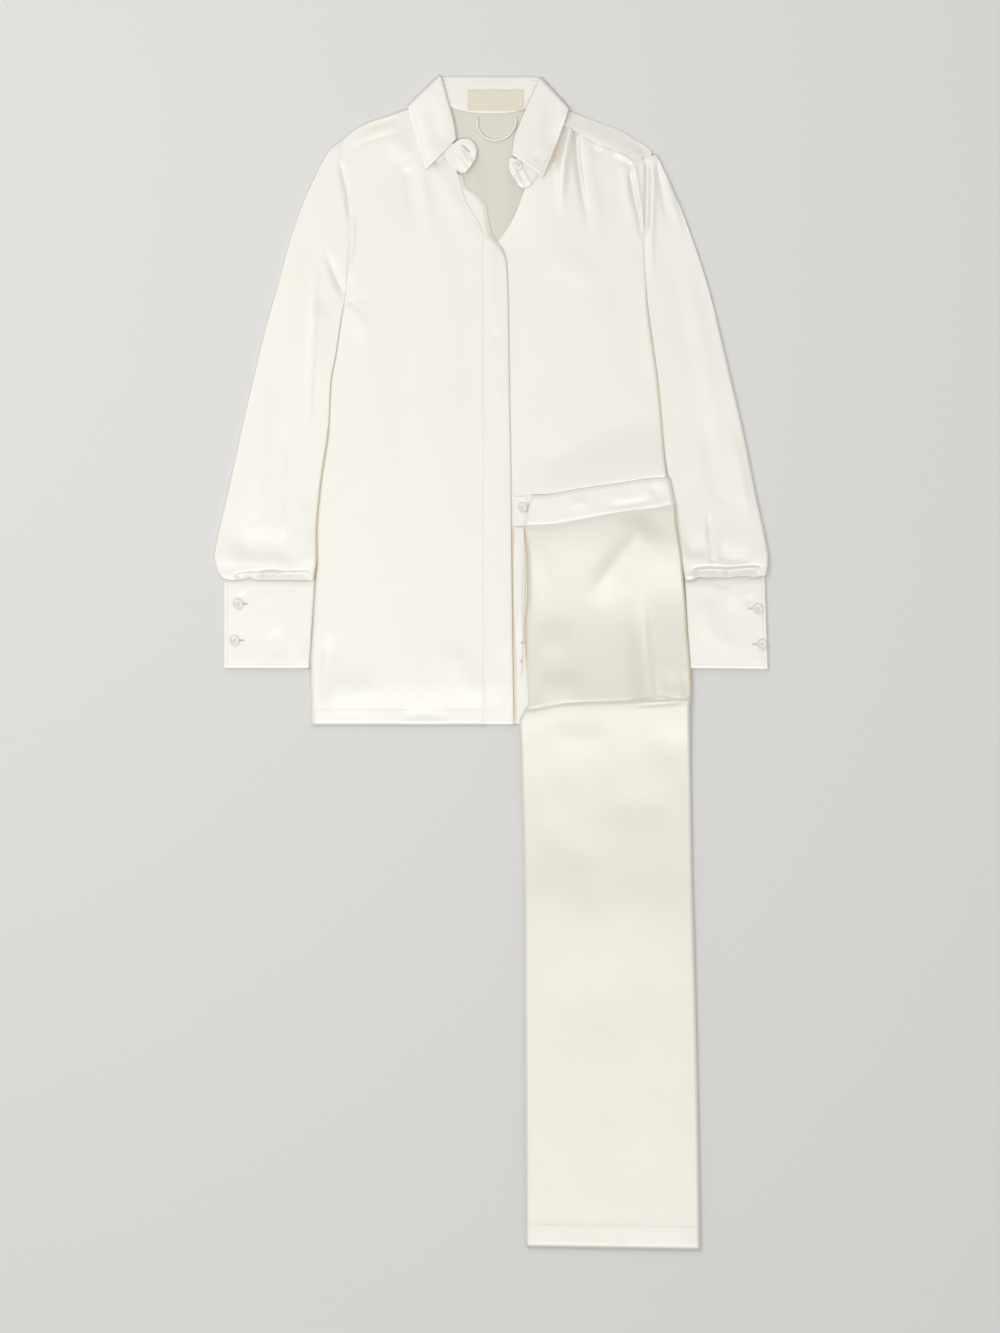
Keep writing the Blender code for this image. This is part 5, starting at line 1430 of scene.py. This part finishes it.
def turned_button(radius):
    """A nacre button: a raised rim, a dished middle and four holes with the thread through them."""
    thick = BUTTON_THICKNESS
    half = thick / 2 * MM
    bpy.ops.mesh.primitive_cylinder_add(vertices=48, radius=radius * MM, depth=thick * MM)
    blank = bpy.context.active_object
    edit_top_faces(blank, half)
    for share, sunk in BUTTON_STEPS:
        bpy.ops.mesh.inset(thickness=share * radius * MM)
        if sunk:
            bpy.ops.transform.translate(value=(0, 0, -sunk * MM))
    bpy.ops.object.mode_set(mode="OBJECT")
    bevel = blank.modifiers.new("Edges", "BEVEL")
    bevel.width = 0.35 * MM
    bevel.segments = 3
    bevel.limit_method = "ANGLE"
    bevel.angle_limit = math.radians(24)
    apply_modifiers(blank)
    spread = HOLE_PLACE * radius
    for x, y in ((1, 1), (-1, 1), (-1, -1), (1, -1)):
        place = (x * spread * MM, y * spread * MM, 0)
        bore, depth = HOLE_RADIUS * radius * MM, 4 * thick * MM
        bpy.ops.mesh.primitive_cylinder_add(vertices=16, radius=bore, depth=depth, location=place)
        drill = bpy.context.active_object
        hole = blank.modifiers.new("Hole", "BOOLEAN")
        hole.object = drill
        hole.operation = "DIFFERENCE"
        apply_modifiers(blank)
        bpy.data.objects.remove(drill)
    select_only(blank)
    bpy.ops.object.shade_smooth_by_angle(angle=math.radians(40))
    blank.data.materials.clear()
    pieces = [blank]
    for angle in (45, -45):
        place = (0, 0, half - 0.45 * MM)
        length = 2.7 * spread * MM
        bpy.ops.mesh.primitive_cylinder_add(vertices=10, radius=BAR_RADIUS * MM, depth=length, location=place)
        bar = bpy.context.active_object
        bar.rotation_euler = (0, math.radians(90), math.radians(angle))
        bpy.ops.object.transform_apply(location=True, rotation=True, scale=True)
        bpy.ops.object.shade_smooth()
        for face in bar.data.polygons:
            face.material_index = 1
        pieces.append(bar)
    for each in pieces:
        each.data.materials.append(NACRE)
        each.data.materials.append(THREAD)
    select_only(*pieces)
    bpy.ops.object.join()
    return blank


def buttons(places):
    """One turned button, copied to each place; the blank itself is taken away."""
    for radius in sorted({radius for _, _, _, radius, _ in places}):
        blank = turned_button(radius)
        for node, x, y, own, turn in places:
            if own != radius:
                continue
            piece = join_collection(bpy.data.objects.new(node + "_nacre", blank.data.copy()))
            low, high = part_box(node)
            middle = Vector((x * MM, y * MM, (low[2] + high[2]) / 2 - 0.15 * MM))
            cos, sin = math.cos(math.radians(turn)), math.sin(math.radians(turn))
            for vertex in piece.data.vertices:
                px, py, pz = vertex.co
                vertex.co = middle + Vector((px * cos - py * sin, px * sin + py * cos, pz))
            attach(piece, "root")
            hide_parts(node)
        bpy.data.objects.remove(blank)


def thread_bars(name, bars, level, width=0.5):
    """Short tight stitches of buttonholes and bar tacks; each bar is its two ends in mm."""
    humps = []
    for start, end in bars:
        start = np.array([*start, level])
        ahead = np.array([*end, level]) - start
        length = np.linalg.norm(ahead)
        ahead /= length
        rings = [(start + ahead * length * share, fat) for share, fat in BAR_RINGS]
        humps.append((rings, np.cross((0, 0, 1), ahead), np.array((0.0, 0.0, 1.0))))
    threads(name, humps, width)


def buttonhole(x, y, angle, length=13.0, half=1.1, pitch=0.55):
    """The bars of a worked buttonhole: two rows beside its slit, and a bar across each end."""
    cos, sin = math.cos(math.radians(angle)), math.sin(math.radians(angle))

    def at(along, aside):
        return x + along * cos - aside * sin, y + along * sin + aside * cos

    bars = []
    for along in np.arange(-length / 2, length / 2 + 0.01, pitch):
        bars += [(at(along, 0.15), at(along, half)), (at(along, -0.15), at(along, -half))]
    for end in (-1, 1):
        for step in (0.3, 0.75):
            bars.append((at(end * (length / 2 + step), -half), at(end * (length / 2 + step), half)))
    return bars


# ---------------- the set


back()
yoke_points = yoke()
left_points = front_left()
right_points = front_right()
placket()
stand_points = stand()
leaf_points = leaf()
label_points = label()
hanger_loop()
sleeve("left", LEFT_SLEEVE, LEFT_SLEEVE_FOLDS, seed=51)
sleeve("right", RIGHT_SLEEVE, RIGHT_SLEEVE_FOLDS, seed=61)
cuff_tops = {
    "left": cuff("left", LEFT_CUFF, LEFT_CUFF_FOLDS),
    "right": cuff("right", RIGHT_CUFF, RIGHT_CUFF_FOLDS),
}
leg_points = trouser_leg()
layers_below()
waist_points = waistband()
waist_underlap()
fly_strip()

# Radii of the buttons in mm.
CUFF_BUTTON, COLLAR_BUTTON, WAIST_BUTTON = 6.2, 5.0, 5.6

# The solid that each button stands for, its place, its radius, and the turn of its holes in degrees.
button_places = [
    ("collar_button", 33.0, 596.6, COLLAR_BUTTON, 35),
    ("waist_button", 37.4, 186.6, WAIST_BUTTON, 0),
]
for (name, (x, y)), turn in zip(CUFF_BUTTONS.items(), (20, 65, -30, 10)):
    button_places.append((name, x, y, CUFF_BUTTON, turn))
buttons(button_places)


def rows_from(points, low, high, at=0):
    """Only the rows of a grid where one of its columns lies between two heights in y."""
    y = points[:, at, 1]
    return points[(y >= low) & (y <= high)]


# The placket's seam ends at this height. It covers the right front's first columns.
PLACKET_SEAM_TOP = 512
COVERED_COLUMNS = 20
# Rows of the leaf that lie on each front of the neck.
LEAF_FRONT_ROWS = 37
hem_lines = [
    line_inside(left_points[:, 1:-1], "first", inset=SHIRT_HEM - 1),
    line_inside(rows_from(right_points, -80, 300)[:, COVERED_COLUMNS:-1], "first", inset=SHIRT_HEM - 1),
]
stitches("stitching_shirt_hem", hem_lines, SATIN)
placket_side = rows_from(left_points, HEM_Y - 1, PLACKET_SEAM_TOP, at=-1)
stitches("stitching_placket", [line_inside(placket_side, "right", inset=1.6)], SATIN)
yoke_front = yoke_points[YOKE_BACK_ROWS + YOKE_FOLD_ROWS + 1 :]
middle = YOKE_NECK_COLUMNS + YOKE_SHOULDER_COLUMNS + 2
yoke_sides = yoke_front[:, : middle - YOKE_NECK_COLUMNS - 2], yoke_front[:, middle + YOKE_NECK_COLUMNS + 2 :]
stitches("stitching_yoke", [line_inside(part, "last", inset=1.6) for part in yoke_sides], SATIN)
leaf_flat = leaf_points[:, LEAF_ROLL_STEPS:]
leaf_lines = []
for part, end in ((leaf_flat[:LEAF_FRONT_ROWS], "first"), (leaf_flat[-LEAF_FRONT_ROWS:], "last")):
    leaf_lines.append(line_inside(part, "right", inset=4.5))
    leaf_lines.append(line_inside(part[:, 1:-1], end, inset=4.5))
stitches("stitching_collar_fall", leaf_lines, LEAF_WALL)
stitches("stitching_collar_band", [line_inside(stand_points[1:-1], "left", inset=1.8)], STAND_WALL)
for side, top in cuff_tops.items():
    cuff_lines = [line_inside(top, edge, inset=4.0) for edge in ("first", "last", "right")]
    stitches("stitching_cuff_" + side, cuff_lines, CUFF_CLOTH)
waist_lines = [line_inside(waist_points, edge, inset=1.8) for edge in ("first", "last", "left")]
stitches("stitching_waistband", waist_lines, FIRM)
stitches("stitching_leg_hem", [line_inside(leg_points, "last", inset=LEG_HEM_DEPTH - 2)], SATIN)
label_lines = [line_inside(label_points, edge, inset=1.2) for edge in ("left", "right", "last")]
stitches("stitching_label", label_lines, LABEL_WALL, pitch=1.8, length=1.3, width=0.32)

CUFF_TOP_LEVEL, FLY_TOP_LEVEL = 4.85, 5.2
holes = []
for (x, y), shift in zip(CUFF_BUTTONS.values(), (4.0, 4.0, -4.0, -4.0)):
    holes += buttonhole(x + shift, y, angle=0)
thread_bars("buttonholes_cuffs", holes, CUFF_TOP_LEVEL)
thread_bars("buttonhole_collar", buttonhole(-30.0, 616.5, angle=-42, length=11.0), STAND_FRONT + 0.62)
bar_tacks = []
for x, y in ((37.4, 24.0), (36.2, 2.0)):
    bar_tacks += [((x - 1.6, y + step), (x + 1.6, y + step)) for step in (-0.8, -0.4, 0, 0.4, 0.8)]
thread_bars("bartacks_fly", bar_tacks, FLY_TOP_LEVEL, width=0.4)


# ---------------- stage


def floor():
    bpy.ops.mesh.primitive_plane_add(size=14)
    plane = bpy.context.active_object
    plane.name = "floor"
    made, tree, surface = new_material("Pale floor")
    mottle = noise(tree, add(tree, "ShaderNodeTexCoord").outputs["Object"], 3.0)
    tint = blended(tree, mottle, (0.655, 0.655, 0.640, 1), (0.665, 0.658, 0.640, 1))
    feed(tree, surface, {"Base Color": tint, "Roughness": 0.95, "Specular IOR Level": 0.1})
    plane.data.materials.append(made)


def softbox(name, place, size, power, colour=(1, 1, 1)):
    """A square soft light, aimed at the middle of the set."""
    data = bpy.data.lights.new(name, "AREA")
    data.shape = "SQUARE"
    data.size = size
    data.energy = power
    data.color = colour
    lamp = join_collection(bpy.data.objects.new(name, data))
    lamp.location = place
    lamp.rotation_mode = "QUATERNION"
    lamp.rotation_quaternion = (-Vector(place)).to_track_quat("-Z", "Y")


def stage():
    floor()
    softbox("Upper left softbox", (-1.15, 0.65, 2.2), size=1.1, power=17.6)
    softbox("Overhead softbox", (0.3, -3.6, 16.0), size=2.4, power=1180, colour=(1.0, 0.995, 0.98))
    softbox("Back softbox", (-2.4, 6.4, 4.6), size=3.6, power=105)
    world = bpy.data.worlds.new("Studio")
    world.use_nodes = True
    background = world.node_tree.nodes["Background"]
    feed(world.node_tree, background, {"Color": (1.0, 1.0, 1.0, 1), "Strength": 0.33})
    bpy.context.scene.world = world
    bpy.context.scene.view_settings.view_transform = "Standard"
    camera = bpy.data.cameras.new("Overhead camera")
    camera.lens = 200
    camera.sensor_width = 36
    shot = join_collection(bpy.data.objects.new("Overhead camera", camera))
    shot.location = (0.0108, -0.0045, 8.89)
    bpy.context.scene.camera = shot


stage()
